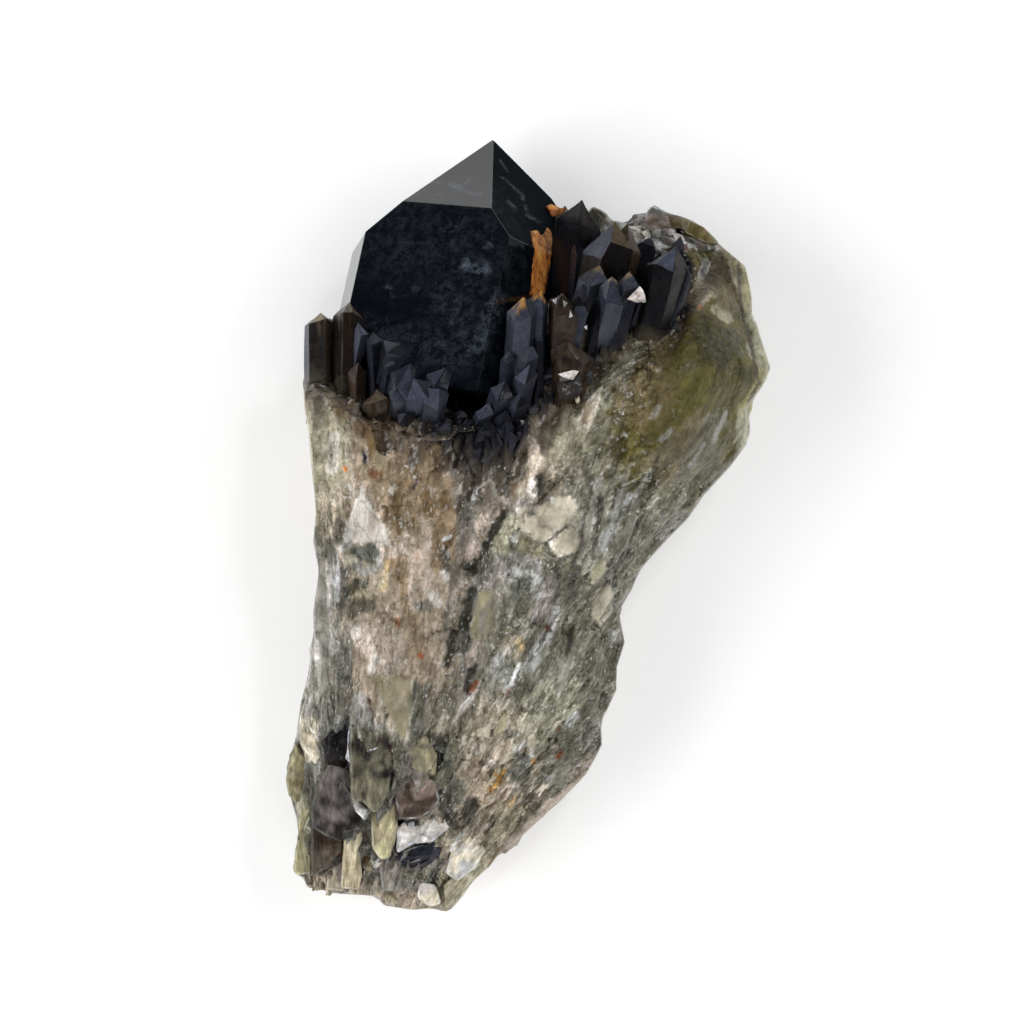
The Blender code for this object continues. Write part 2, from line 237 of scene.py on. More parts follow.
# %% Lights
LIGHTS = {
    # name: direction from the stone, distance in metres, width and height in metres, watts, colour, mirrored
    "left_softbox": ((-0.80, -0.10, 0.59), 1.4, 1.2, 1.3, 18.4, (1.0, 0.99, 0.97), False),
    "right_softbox": ((0.75, 0.25, 0.61), 1.4, 1.0, 1.0, 8.6, (1.0, 0.98, 0.95), False),
    "low_softbox": ((0.15, -0.85, 0.50), 1.4, 1.0, 1.0, 6.0, (1.0, 0.99, 0.97), True),
    "small_lamp": ((0.30, 0.45, 0.84), 1.3, 0.13, 0.13, 1.6, (1.0, 1.0, 1.0), True),
}
for name, (direction, distance, wide, high, watts, colour, mirrored) in LIGHTS.items():
    data = bpy.data.lights.new(name, "AREA")
    data.shape, data.size, data.size_y = "RECTANGLE", wide, high
    data.energy, data.color = watts, colour
    light = bpy.data.objects.new(name, data)
    light.visible_glossy = mirrored
    toward = Vector(direction).normalized()
    light.location = toward * distance
    light.rotation_euler = toward.to_track_quat("Z", "Y").to_euler()
    bpy.context.scene.collection.objects.link(light)
print(len(LIGHTS), "lights")

# %% Pale room with one dark side
DARK_SIDE = Vector((-0.54, 0.59, 0.60)).normalized()
world = bpy.data.worlds.new("pale room")
world.use_nodes = True
room = world.node_tree
looking = put(room, "ShaderNodeTexCoord").outputs["Generated"]
turned_there = put(room, "ShaderNodeVectorMath", {"operation": "DOT_PRODUCT"}, i0=looking, i1=DARK_SIDE)
DARK_STOPS = (0.55, (0.30, 0.315, 0.34)), (0.84, (0.06, 0.073, 0.095))
CEILING_STOPS = (0.25, (1, 1, 1)), (0.75, (0.60, 0.61, 0.64))
room_tone = colour_ramp(room, turned_there.outputs["Value"], *DARK_STOPS)
height_share = put(room, "ShaderNodeSeparateXYZ", Vector=looking).outputs[2]
ceiling = colour_ramp(room, height_share, *CEILING_STOPS)
dimmed = vector_math(room, "MULTIPLY", i0=room_tone, i1=ceiling)
plug(room, room.nodes["Background"], Color=dimmed, Strength=1.0)
bpy.context.scene.world = world
print("dark side", [round(value, 2) for value in DARK_SIDE])

# %% [markdown]
# ## Working by hand in code
# Every new piece starts from a primitive and is shaped with edit mode operators. They act on what is
# selected, so each helper clears the selection first.

# %% Helpers for edit mode
SMOOTH_ANGLE = math.radians(24)


def fresh_selection():
    """Object mode, with nothing selected."""
    if bpy.context.mode != "OBJECT":
        bpy.ops.object.mode_set(mode="OBJECT")
    bpy.ops.object.select_all(action="DESELECT")


def edit_mode():
    bpy.ops.object.mode_set(mode="EDIT")


def object_mode():
    bpy.ops.object.mode_set(mode="OBJECT")


def edit_all():
    """Edit mode, with the whole mesh selected."""
    edit_mode()
    bpy.ops.mesh.select_all(action="SELECT")


def select_nothing():
    """Clears the mesh's own selection, so that faces or points can be picked one by one in object mode."""
    edit_mode()
    bpy.ops.mesh.select_all(action="DESELECT")
    object_mode()


def close_up():
    """Turns every face outward, and goes back to object mode."""
    edit_all()
    bpy.ops.mesh.normals_make_consistent(inside=False)
    object_mode()


def pick(obj):
    fresh_selection()
    obj.select_set(True)
    bpy.context.view_layer.objects.active = obj


def slice_off(point, normal):
    """Cuts away what lies beyond a plane, and closes the cut with a flat face. The object is in edit mode."""
    bpy.ops.mesh.select_all(action="SELECT")
    bpy.ops.mesh.bisect(plane_co=point, plane_no=normal, use_fill=True, clear_outer=True)


def apply_modifier(obj, kind, name, **values):
    """Adds a modifier with these values, and applies it."""
    pick(obj)
    modifier = obj.modifiers.new(name, kind)
    for key, value in values.items():
        setattr(modifier, key, value)
    bpy.ops.object.modifier_apply(modifier=modifier.name)


def joined(name, objects):
    """The objects as one, with its origin at the world's."""
    fresh_selection()
    for obj in objects:
        obj.select_set(True)
    bpy.context.view_layer.objects.active = objects[0]
    bpy.ops.object.join()
    whole = bpy.context.object
    whole.name = whole.data.name = name
    return whole


# %% [markdown]
# ## Quartz crystals
# A quartz crystal is six prism faces round its long axis, closed by six pyramid faces whose normals stand
# 51.8 degrees from it. Cutting a block with those planes gives true corners, however uneven the crystal is,
# and that is how a natural one differs from a pencil: each face sits at its own distance.

# %% A crystal cut from a block
PYRAMID = math.radians(51.8)


def cut_crystal(name, tip, axis, front, prism, rise, length):
    """Six prism faces at their distances, six pyramid faces through the tip or beyond it, and a flat foot."""
    fresh_selection()
    middle = (tip - axis * length / 2 + SHIFT) * MM
    bpy.ops.mesh.primitive_cube_add(size=2 * (length + max(prism)) * MM, location=middle)
    crystal = bpy.context.object
    crystal.name = crystal.data.name = name
    bpy.ops.object.transform_apply(location=True, rotation=True, scale=True)
    edit_mode()
    front = (front - axis * front.dot(axis)).normalized()
    peak = tip + SHIFT
    for face in range(6):
        outward = Matrix.Rotation(math.tau * face / 6, 3, axis) @ front
        slice_off((peak + outward * prism[face]) * MM, outward)
        slope = outward * math.sin(PYRAMID) + axis * math.cos(PYRAMID)
        slice_off((peak + axis * rise[face]) * MM, slope)
    slice_off((peak - axis * length) * MM, -axis)
    bpy.ops.mesh.select_all(action="SELECT")
    bpy.ops.mesh.remove_doubles(threshold=1e-6)
    bpy.ops.mesh.normals_make_consistent(inside=False)
    object_mode()
    return crystal


def leaning(right, forward):
    """A unit axis that leans from +Y to the right and towards the viewer, in degrees."""
    right, forward = math.radians(right), math.radians(forward)
    flat = math.cos(forward)
    return Vector((math.sin(right) * flat, math.cos(right) * flat, math.sin(forward)))


def facing(axis, turn):
    """A direction across the axis, turned from the viewer's side by so many degrees."""
    front = Vector((0, 0, 1)) - axis * axis.z
    return Matrix.Rotation(math.radians(turn), 3, axis) @ front.normalized()


# %% [markdown]
# The main crystal's axis and turn come from the corners that show. Its edges are worn a little, so they
# catch a thin line of light: a bevel of a tenth of a millimetre does that.

# %% Main crystal
MAIN_AXIS = Vector((0.1975, 0.9389, -0.2820)).normalized()
MAIN_FRONT = Vector((-0.3044, 0.3322, 0.8927)).normalized()
MAIN_PRISM = (12.8, 16.2, 12.7, 10.8, 14.2, 17.1)
MAIN_RISE = (0.0, 0.0, 7.0, 0.0, 1.5, 0.0)
main_crystal = cut_crystal("main_crystal", MAIN_TIP, MAIN_AXIS, MAIN_FRONT, MAIN_PRISM, MAIN_RISE, 46.0)
apply_modifier(main_crystal, "BEVEL", "worn edges", width=0.12 * MM, segments=2, limit_method="ANGLE")
pick(main_crystal)
edit_all()
bpy.ops.mesh.quads_convert_to_tris()
bpy.ops.mesh.select_all(action="DESELECT")
object_mode()
for polygon in main_crystal.data.polygons:
    polygon.select = polygon.normal.z > 0.2 and polygon.area > 2e-6
edit_mode()
for cuts in (5, 5):
    bpy.ops.mesh.subdivide(number_cuts=cuts)
object_mode()
print("main crystal", len(main_crystal.data.polygons), "faces")

# %% [markdown]
# Next to the main crystal stand smaller ones, and every one has its own uneven head. For the ones that show
# most, the tip and the corners of the shoulder are set one by one: a ring of corners is extruded to the
# foot, and its top face is poked up to the tip. That keeps each crystal's own facets, which a cut block
# would make too even.

# %% Crystals set by their corners
SET_CRYSTALS = {
    # name: tone, lean right and forward, length in mm, foot's share of the width, then the tip and the
    # shoulder corners from left to right, each a pixel and a height in mm, and the tones of facets,
    # counted from the left: p of the point, b of the body; the lighter slate and blue facet tones are
    # painted reflections, the others the crystals' own colours
    "left_edge": (
        "navy", 0, 3, 15, 1.0, (321, 312, 29.5), "304,326,27.7 309,324,29.9 325,319,31.1 332,321,28.9",
        {
            "p0": "tan grey", "p1": "tan grey", "p2": "tan grey",
            "b0": "slate", "b1": "brown black", "b2": "umber",
        },
    ),
    "left_second": (
        "umber", 1, 5, 15, 1.0, (349, 302, 31.4), "333,316,29.6 343,313,32.6 354,312,32.8 363,320,30.8",
        {
            "p0": "smoke brown", "p1": "smoke grey", "p2": "smoke brown",
            "b0": "brown black", "b1": "umber", "b2": "brown black",
        },
    ),
    "left_blade": (
        "navy", 12, 16, 9, 0.8, (358, 322, 33.4), "354,330,32.4 361,336,33.8 369,334,33.0",
        {"p0": "slate", "p1": "blue slate"},
    ),
    "left_third": (
        "navy", -2, 14, 12, 0.9, (374, 332, 34.2), "366,340,33.0 372,345,35.2 383,340,33.6",
        {"p1": "slate"},
    ),
    "left_fan": (
        "slate", 20, 34, 6, 0.9, (402, 343, 36.0), "383,340,35.0 386,353,37.4 399,357,36.4 406,352,35.0",
        {"p0": "slate", "p1": "slate", "p2": "navy"},
    ),
    "left_fan_b": (
        "navy", 4, 22, 10, 0.9, (388, 352, 35.8), "380,362,34.6 386,368,36.8 396,364,36.0",
        {"p1": "slate"},
    ),
    "left_low": ("umber", 2, 14, 12, 1.0, (358, 362, 33.6), "348,372,32.0 356,377,34.2 367,372,32.4", {}),
    "ledge_a": (
        "navy", 16, 30, 10, 1.0, (411, 363, 38.2), "391,372,37.2 396,389,39.2 412,386,39.6 417,370,38.2",
        {"p0": "navy", "p1": "slate", "b1": "navy"},
    ),
    "ledge_b": (
        "slate", -6, 54, 8, 1.0, (414, 378, 40.6), "398,388,39.6 406,400,41.2 428,398,41.4 432,382,40.2",
        {"p0": "navy", "p1": "blue slate", "p2": "slate"},
    ),
    "ledge_c": (
        "slate", 12, 52, 8, 1.0, (440, 388, 41.2), "423,388,40.6 424,404,41.2 438,411,41.0 449,394,40.2",
        {"p0": "blue slate", "p1": "slate", "p2": "navy"},
    ),
    "ledge_d": (
        "navy", 14, 34, 10, 1.0, (446, 367, 40.0), "427,374,39.2 433,388,40.8 449,384,40.4 452,373,39.0",
        {"p0": "slate", "p1": "navy", "p2": "navy"},
    ),
    "ledge_e": (
        "slate", -8, 36, 9, 1.0, (399, 384, 38.8), "388,392,37.6 392,402,39.2 405,401,39.0 409,391,38.2",
        {"p0": "navy", "p1": "slate"},
    ),
    "front_brown": (
        "umber", 2, 20, 11, 1.0, (377, 389, 37.0), "362,405,35.0 371,403,37.8 388,398,37.6 392,408,36.0",
        {"p1": "smoke brown", "b2": "dark rust"},
    ),
    "front_brown_b": ("umber", 4, 20, 9, 1.0, (409, 402, 37.6), "402,412,36.4 409,416,38.2 417,411,36.8", {}),
    "front_brown_c": (
        "smoke brown", 8, 22, 9, 1.0, (428, 412, 38.4), "420,421,37.2 427,426,38.9 436,420,37.4",
        {},
    ),
    "groove_big": (
        "navy", 24, 40, 8, 0.9, (489, 403, 40.2), "475,412,39.0 478,421,40.6 494,414,40.2",
        {"p0": "blue slate", "p1": "slate", "b0": "navy", "b1": "navy"},
    ),
    "groove_big_b": (
        "navy", 22, 38, 9, 0.9, (506, 380, 40.2), "491,388,39.2 497,402,41.0 513,396,40.2",
        {"p0": "slate", "b1": "navy"},
    ),
    "groove_big_c": (
        "navy", 20, 40, 8, 0.9, (523, 391, 40.0), "509,400,39.2 515,411,40.8 529,405,39.8",
        {"p0": "slate", "b0": "navy"},
    ),
    "groove_big_d": (
        "navy", 22, 42, 7, 0.9, (506, 410, 40.0), "494,418,39.0 499,428,40.4 513,422,39.6",
        {"b1": "slate"},
    ),
    "groove_spike": (
        "black glass", 18, 34, 7, 0.2, (464, 424, 40.0), "456,432,39.2 460,439,40.2 468,434,39.6",
        {},
    ),
    "stained_a": (
        "navy", 4, 14, 16, 1.0, (523, 297, 38.6), "507,312,36.6 514,320,38.8 532,318,40.0 541,309,38.4",
        {"p0": "slate", "p1": "slate", "p2": "navy", "b0": "navy", "b1": "slate", "b2": "navy"},
    ),
    "stained_b": (
        "navy", 4, 14, 16, 1.0, (541, 290, 38.0), "522,304,37.0 531,313,39.0 543,316,39.2 548,305,37.2",
        {"p0": "slate", "p1": "slate", "b1": "navy"},
    ),
    "stained_foot": (
        "navy", 12, 24, 12, 0.9, (533, 345, 40.2), "516,358,38.6 526,364,40.6 539,357,39.4",
        {"p0": "navy", "p1": "slate"},
    ),
    "stained_low": (
        "navy", 14, 28, 11, 0.9, (530, 364, 41.0), "514,378,39.6 525,385,41.2 538,374,40.2",
        {"p0": "blue slate", "b0": "navy"},
    ),
    "stained_side": ("navy", 6, 16, 12, 0.9, (509, 350, 38.4), "500,360,37.2 506,366,39.0 516,360,38.4", {}),
    "right_tall": (
        "brown black", 8, 5, 28, 1.0, (582, 200, 29.6), "556,219,26.0 579,224,30.2 601,232,27.4",
        {"p0": "black glass", "p1": "brown black", "b0": "brown black", "b1": "black glass"},
    ),
    "right_bright": (
        "brown black", 12, 18, 24, 1.0, (615, 221, 34.6),
        "581,253,32.6 602,259,36.6 611,242,36.0 633,250,34.0",
        {
            "p0": "slate", "p1": "blue slate", "p2": "bronze brown",
            "b0": "brown black", "b1": "brown black", "b2": "brown black",
        },
    ),
    "right_bright_b": (
        "brown black", 16, 14, 20, 1.0, (628, 223, 32), "612,240,32.4 628,249,34.0 641,254,31.4",
        {"p0": "bronze brown", "p1": "umber", "b1": "umber"},
    ),
    "right_dark": (
        "brown black", 13, 14, 15, 0.95, (677, 246, 36.6),
        "643,267,34.0 655,264,37.6 674,272,38.4 692,277,34.8",
        {
            "p0": "navy", "p1": "blue slate", "p2": "brown black",
            "b0": "black glass", "b1": "black glass", "b2": "black glass",
        },
    ),
    "right_front": (
        "navy", 14, 30, 13, 0.7, (612, 276, 39.4), "600,286,38.0 606,302,40.6 624,305,39.4 627,292,37.4",
        {"p0": "slate", "p1": "slate blue", "b0": "slate blue", "b1": "slate blue", "b2": "navy"},
    ),
    "right_behind": (
        "navy", 12, 14, 20, 1.0, (600, 265, 37.4), "578,277,35.0 590,287,38.0 608,281,37.4",
        {"p1": "slate", "b0": "slate"},
    ),
    "right_left": ("navy", 10, 16, 20, 1.0, (583, 283, 37.2), "572,296,35.4 580,306,38.0 594,298,36.8", {}),
    "right_small": (
        "navy", 14, 22, 15, 1.0, (630, 271, 38.2), "616,283,37.6 624,293,39.4 640,287,37.2",
        {"p0": "navy", "p1": "slate"},
    ),
    "back_small": (
        "brown black", 8, -8, 16, 1.0, (565, 205, 18), "556,216,16.5 564,219,19.0 572,215,17.0",
        {"p0": "moss grey", "p1": "moss grey"},
    ),
    "brown_block": (
        "deep brown", 2, 14, 18, 0.9, (563, 293, 38.2), "549,302,36.8 553,318,39.4 572,313,40.0 589,326,37.4",
        {},
    ),
    "brown_foot": (
        "deep brown", 4, 22, 11, 0.9, (566, 340, 39.4), "551,350,38.2 560,372,40.2 582,364,40.0 594,358,38.0",
        {},
    ),
}
BROWN_ONES = {"brown_block", "brown_foot"}
side_crystals, brown_crystals, facet_tones_and_reflections, crystal_tips = {}, {}, {}, {}


def ring_of(name, places):
    """One face with a corner at each place."""
    fresh_selection()
    bpy.ops.mesh.primitive_circle_add(vertices=len(places), radius=MM, fill_type="NGON")
    piece = bpy.context.object
    piece.name = piece.data.name = name
    for vert, place in zip(piece.data.vertices, places):
        vert.co = (place + SHIFT) * MM
    return piece


def set_crystal(name, lean, length, foot, tip, shoulders):
    """A crystal with its tip and shoulder corners at these places, and a back that mirrors its front."""
    tip, front = seen_at(*tip), [seen_at(*corner) for corner in spots(shoulders)]
    left, right = front[0], front[-1]
    ring = list(front)
    for place in reversed(front[1:-1]):
        share = (place.x - left.x) / (right.x - left.x)
        level = left.z + (right.z - left.z) * share
        ring.append(Vector((place.x, place.y, 2 * level - place.z - 0.4 * (right.x - left.x))))
    crystal = ring_of(name, ring)
    axis = leaning(*lean)
    middle = sum(ring, Vector()) / len(ring) + SHIFT
    edit_all()
    bpy.ops.mesh.extrude_region_move(TRANSFORM_OT_translate={"value": -axis * length * MM})
    bpy.ops.transform.resize(value=(foot, foot, foot), center_override=(middle - axis * length) * MM)
    bpy.ops.mesh.select_all(action="DESELECT")
    object_mode()
    top = min(crystal.data.polygons, key=lambda face: (face.center - middle * MM).length)
    top.select = True
    edit_mode()
    bpy.ops.mesh.poke()
    object_mode()
    crystal.data.vertices[-1].co = (tip + SHIFT) * MM
    close_up()
    faces = {}
    for number, (first, second) in enumerate(zip(front, front[1:])):
        faces[f"p{number}"] = (first - tip).cross(second - tip).normalized()
        faces[f"b{number}"] = (second - first).cross(axis).normalized()
    return crystal, {key: normal if normal.z > 0 else -normal for key, normal in faces.items()}


for name, (tone, right, forward, length, foot, tip, shoulders, tones) in SET_CRYSTALS.items():
    made, faces = set_crystal(name, (right, forward), length, foot, tip, shoulders)
    apply_modifier(made, "BEVEL", "worn edges", width=0.05 * MM, segments=1, limit_method="ANGLE")
    pick(made)
    edit_all()
    bpy.ops.mesh.quads_convert_to_tris()
    bpy.ops.mesh.subdivide(number_cuts=4)
    object_mode()
    facet_tones_and_reflections[name] = [(faces[key], facet_tone_and_reflection) for key, facet_tone_and_reflection in tones.items()]
    crystal_tips[name] = seen_at(*tip)
    (brown_crystals if name in BROWN_ONES else side_crystals)[name] = made
print(len(side_crystals), "dark and", len(brown_crystals), "brown side crystals")

# %% [markdown]
# ## The root
# The root is a mass of quartz fibres that fan out from the broken end. Two lofted bodies overlap down its
# length, the way two bundles grow against each other, and the dark groove is the valley between them. Each
# body is one ring that is extruded row by row, sized and moved as it goes.

# %% Rows of the two bundles
# y, left edge, right edge, lowest z, highest z
TRUNK_ROWS = (
    (-57.6, -34.6, -18.0, 5.0, 18.0),
    (-54.0, -36.2, -13.0, 1.5, 22.0),
    (-49.6, -36.2, -10.0, 0.0, 25.0),
    (-42.0, -37.0, -8.0, -1.5, 28.5),
    (-35.6, -36.8, -7.0, -1.5, 30.0),
    (-26.3, -34.6, -5.5, -1.5, 31.5),
    (-14.7, -33.4, -4.5, -1.5, 33.5),
    (-5.4, -33.2, -2.0, -1.0, 35.0),
    (3.9, -33.0, 3.0, 0.0, 37.5),
    (13.2, -33.6, 9.0, 1.0, 41.0),
    (21.7, -34.2, 14.0, 3.0, 43.0),
    (28.0, -34.0, 14.0, 6.0, 42.0),
    (31.5, -33.0, 13.0, 8.0, 39.0),
)
FAN_ROWS = (
    (-59.8, -22.6, -11.0, 6.0, 17.0),
    (-56.6, -27.0, -8.6, 2.5, 21.5),
    (-51.8, -28.0, -3.6, 0.5, 24.0),
    (-44.9, -28.0, 3.6, -1.0, 26.5),
    (-38.0, -26.0, 10.2, -1.5, 28.5),
    (-31.0, -24.0, 12.6, -1.5, 30.5),
    (-19.4, -20.0, 15.0, -1.5, 32.5),
    (-13.2, -18.0, 15.2, -1.5, 33.5),
    (-5.4, -15.0, 19.4, -1.5, 35.0),
    (3.9, -11.0, 28.0, -1.0, 37.0),
    (12.4, -8.0, 35.0, 0.0, 39.0),
    (18.0, -5.0, 35.4, 1.0, 39.5),
    (24.0, -2.0, 38.6, 2.5, 38.5),
    (31.8, 0.0, 35.4, 4.5, 35.0),
    (38.8, 3.0, 34.2, 6.0, 31.0),
    (43.0, 7.0, 30.8, 7.5, 28.5),
    (46.6, 13.0, 26.0, 10.0, 25.0),
    (49.2, 17.6, 22.6, 14.0, 20.0),
)
RING_POINTS = 40
CROSS_SECTION_POWER = 2.8
FAN_RIM_THINNING = 0.42


def between_rows(rows, steps):
    """Rows spaced evenly on a smooth curve through the given ones."""
    found = []
    for step in range(steps + 1):
        along = step / steps * (len(rows) - 1)
        at = min(int(along), len(rows) - 2)
        t = along - at
        near = (rows[min(max(at + k, 0), len(rows) - 1)] for k in (-1, 0, 1, 2))
        found.append([
            0.5 * (2 * b + (c - a) * t + (2 * a - 5 * b + 4 * c - d) * t**2 + (3 * b - a - 3 * c + d) * t**3)
            for a, b, c, d in zip(*near)
        ])
    return found


# %% Extrude each bundle
def bundle(name, rows, steps, thinning):
    """One rounded ring, extruded along the rows."""
    fresh_selection()
    upright = (math.pi / 2, 0, 0)
    bpy.ops.mesh.primitive_circle_add(vertices=RING_POINTS, radius=1.0, fill_type="NGON", rotation=upright)
    body = bpy.context.object
    body.name = body.data.name = name
    bpy.ops.object.transform_apply(location=True, rotation=True, scale=True)
    for vert in body.data.vertices:
        side = math.copysign(abs(vert.co.x) ** (2 / CROSS_SECTION_POWER), vert.co.x)
        rise = math.copysign(abs(vert.co.z) ** (2 / CROSS_SECTION_POWER), vert.co.z)
        vert.co = (side, 0, rise * (1 - thinning * max(side, 0) ** 2))
    edit_all()
    before = None
    for y, left, right, low, high in between_rows(rows, steps):
        centre = (Vector(((left + right) / 2, y, (low + high) / 2)) + SHIFT) * MM
        half, depth = (right - left) / 2 * MM, (high - low) / 2 * MM
        if before is None:
            bpy.ops.transform.resize(value=(half, 1, depth), center_override=(0, 0, 0))
            bpy.ops.transform.translate(value=centre)
        else:
            bpy.ops.mesh.extrude_region_move(TRANSFORM_OT_translate={"value": centre - before[0]})
            bpy.ops.transform.resize(value=(half / before[1], 1, depth / before[2]), center_override=centre)
        before = (centre, half, depth)
    close_up()
    return body


trunk = bundle("trunk", TRUNK_ROWS, 36, 0.0)
fan = bundle("fan", FAN_ROWS, 42, FAN_RIM_THINNING)
CROWN_POINT = Vector((-10.0, 16.0, 40.0))
CROWN_NORMAL = Vector((0.05, 0.92, 0.38)).normalized()
pick(trunk)
edit_mode()
slice_off((CROWN_POINT + SHIFT) * MM, CROWN_NORMAL)
object_mode()
print("bundles", len(trunk.data.polygons), len(fan.data.polygons), "faces")

# %% Break faces
BREAKS = (
    # a point on each face, the direction it faces and how far it reaches
    ((23.0, 42.5, 29.5), (-0.25, 0.66, 0.71), 20.0),
    ((35.4, 30.0, 29.0), (0.72, 0.14, 0.68), 22.0),
    ((34.0, 11.0, 30.0), (0.72, -0.44, 0.54), 18.0),
    ((8.5, -42.0, 24.0), (0.62, -0.42, 0.66), 16.0),
    ((-33.6, -8.0, 29.0), (-0.72, 0.05, 0.69), 24.0),
    ((-36.2, -38.0, 12.0), (-0.95, -0.10, -0.30), 20.0),
    ((-27.5, -54.0, 21.0), (-0.30, -0.66, 0.68), 14.0),
    ((-13.0, -54.5, 22.5), (0.10, -0.62, 0.78), 12.0),
    ((16.5, -14.0, 27.0), (0.80, -0.10, 0.60), 16.0),
    ((-8.0, -36.0, 29.4), (0.25, -0.25, 0.93), 14.0),
    ((-24.0, 0.0, 36.6), (-0.30, -0.10, 0.95), 18.0),
    ((10.0, 10.0, 38.4), (0.15, -0.20, 0.97), 16.0),
)
root = trunk
root.name = root.data.name = "root"
apply_modifier(root, "BOOLEAN", "join fan", operation="UNION", solver="EXACT", object=fan)
bpy.data.objects.remove(fan, do_unlink=True)
for number, (point, direction, reach) in enumerate(BREAKS):
    outward = Vector(direction).normalized()
    fresh_selection()
    bpy.ops.mesh.primitive_cube_add(
        size=reach * MM,
        location=(Vector(point) + SHIFT + outward * reach / 2) * MM,
        rotation=outward.to_track_quat("Z", "Y").to_euler(),
    )
    block = bpy.context.object
    apply_modifier(root, "BOOLEAN", f"break {number}", operation="DIFFERENCE", solver="EXACT", object=block)
    bpy.data.objects.remove(block, do_unlink=True)
print("root", len(root.data.polygons), "faces")

# %% [markdown]
# The bundles' long faces can't carry fine relief, so the root is rebuilt from even squares of a little over
# a millimetre, and the side that is looked at most is divided three times finer.

# %% Even mesh
apply_modifier(root, "REMESH", "even squares", mode="VOXEL", voxel_size=1.15 * MM, use_smooth_shade=True)
pick(root)
select_nothing()
for polygon in root.data.polygons:
    polygon.select = polygon.normal.z > 0.05
edit_mode()
bpy.ops.mesh.subdivide(number_cuts=2, smoothness=0.0)
object_mode()
print("root", len(root.data.vertices), "points")

# %% [markdown]
# ### Relief
# The fibres fan out from a point below the broken end, so the relief is worked out in fan coordinates:
# across the fibres, along them, and up. A pattern that is stretched along the fan makes ridges, and one cut
# into cells makes broken ledges. A Displace modifier only knows straight textures, so this is done point by
# point.

# %% Fan coordinates and relief
SEED_OFFSET = Vector((13.7, 4.1, 27.3))
noise.seed_set(4)
FAN_X, FAN_Y, FAN_REACH = -30.5, -80.0, 80.0
RAISED_PLACES = (
    # centre, reach and strength
    ((7.0, -3.0, 36.0), (6.5, 9.0, 9.0), 2.2),
    ((0.0, -16.0, 34.0), (5.0, 13.0, 8.0), 1.4),
    ((11.6, -10.5, 30.0), (3.4, 8.0, 9.0), 1.8),
    ((27.0, 31.0, 34.0), (3.5, 14.0, 8.0), 2.0),
    ((-20.5, -28.0, 30.0), (3.2, 9.0, 8.0), 1.3),
    ((-8.5, -10.0, 35.0), (2.6, 24.0, 8.0), -1.8),
    ((-29.0, -35.5, 28.0), (3.2, 4.4, 8.0), -2.4),
    ((-17.0, -51.0, 24.0), (4.4, 3.0, 8.0), -2.2),
    ((10.0, 39.0, 32.0), (9.0, 9.0, 12.0), -5.0),
)


def fan_place(place):
    """Distance across the fibres and along them."""
    dx, dy = place.x - FAN_X, place.y - FAN_Y
    return math.atan2(dx, dy) * FAN_REACH, math.hypot(dx, dy)


def cell_step(cell):
    """A flat, tipped step in each cell of a Voronoi pattern, from -0.5 to 0.5 or so."""
    nearest = noise.voronoi(cell)[1][0]
    tilt = noise.cell_vector(nearest * 7.3) - Vector((0.5, 0.5, 0.5))
    return 0.6 * (noise.cell(nearest * 5.1) - 0.5) + tilt.dot(cell - nearest)


def coarse_relief(place):
    """The relief that the solid has too: long ridges, large ledges, lumps and hollows."""
    across, along = fan_place(place)
    height = 1.1 * noise.noise(Vector((across / 4.0, along / 26.0, place.z / 4.0)) + SEED_OFFSET)
    height += 1.1 * cell_step(Vector((across / 7.0, along / 17.0, place.z / 7.0)) + SEED_OFFSET)
    height += 1.1 * noise.noise(place / 12.0 + SEED_OFFSET)
    for centre, reach, strength in RAISED_PLACES:
        away = sum(((place[k] - centre[k]) / reach[k]) ** 2 for k in range(3))
        height += strength * math.exp(-away)
    return height


def terraces(value, levels):
    """A smooth value made into flat steps with steep edges."""
    step = math.floor(value * levels)
    part = value * levels - step
    return (step + smooth(0.78, 1.0, part)) / levels


def fine_relief(place, lobe, blocky):
    """Fibres, chips and small ledges, calmer on the glassy lobe and blockier at the broken end."""
    across, along = fan_place(place)
    ridge = 1 - abs(noise.noise(Vector((across / 1.5, along / 15.0, place.z / 2.2)) + SEED_OFFSET)) * 2
    fibre = noise.noise(Vector((across / 0.8, along / 8.0, place.z / 1.2)) - SEED_OFFSET)
    broad = noise.noise(Vector((across / 4.5, along / 9.0, place.z / 4.5)) - SEED_OFFSET)
    broad += 0.5 * noise.noise(Vector((across / 1.6, along / 3.0, place.z / 1.6)) + SEED_OFFSET)
    chip = cell_step(Vector((across / 2.4, along / 5.0, place.z / 2.4)) - SEED_OFFSET)
    block = cell_step(Vector((across / 4.0, along / 8.5, place.z / 4.0)) + SEED_OFFSET * 2)
    crumb = cell_step(Vector((across / 1.3, along / 2.8, place.z / 1.3)) + SEED_OFFSET)
    height = 0.12 * ridge + 0.05 * fibre + 0.9 * terraces(broad, 2.5)
    height += (0.34 + 0.3 * blocky) * chip + 0.26 * crumb
    return (height + 1.0 * blocky * block) * (1 - 0.88 * lobe)


# %% Shape zones that change the relief
def smooth(low, high, value):
    t = min(max((value - low) / (high - low), 0.0), 1.0)
    return t * t * (3 - 2 * t)


def lobe_share(place):
    """1 on the glassy lobe at the upper right, 0 elsewhere."""
    inside = smooth(0.0, 3.0, (place.x - 22.0) + 0.42 * (38.0 - place.y) - 3.0)
    return inside * smooth(6.0, 14.0, place.y + 0.5 * (place.x - 20.0))


def block_share(place):
    """1 at the broken end, 0 above it."""
    return smooth(-24.0, -40.0, place.y)


# %% [markdown]
# The root dips where the crystals leave it, so that their feet run into it and fade instead of standing
# behind a wall. The lower edge of the dark crystals is a line across the picture, and the dip follows it.

# %% The druse's lower edge
DRUSE_EDGE = spots("""
    303,380 330,383 345,390 400,428 455,444 476,466 512,462 526,438 545,410 560,400 585,395 600,360 640,331
    678,336 692,290
""")


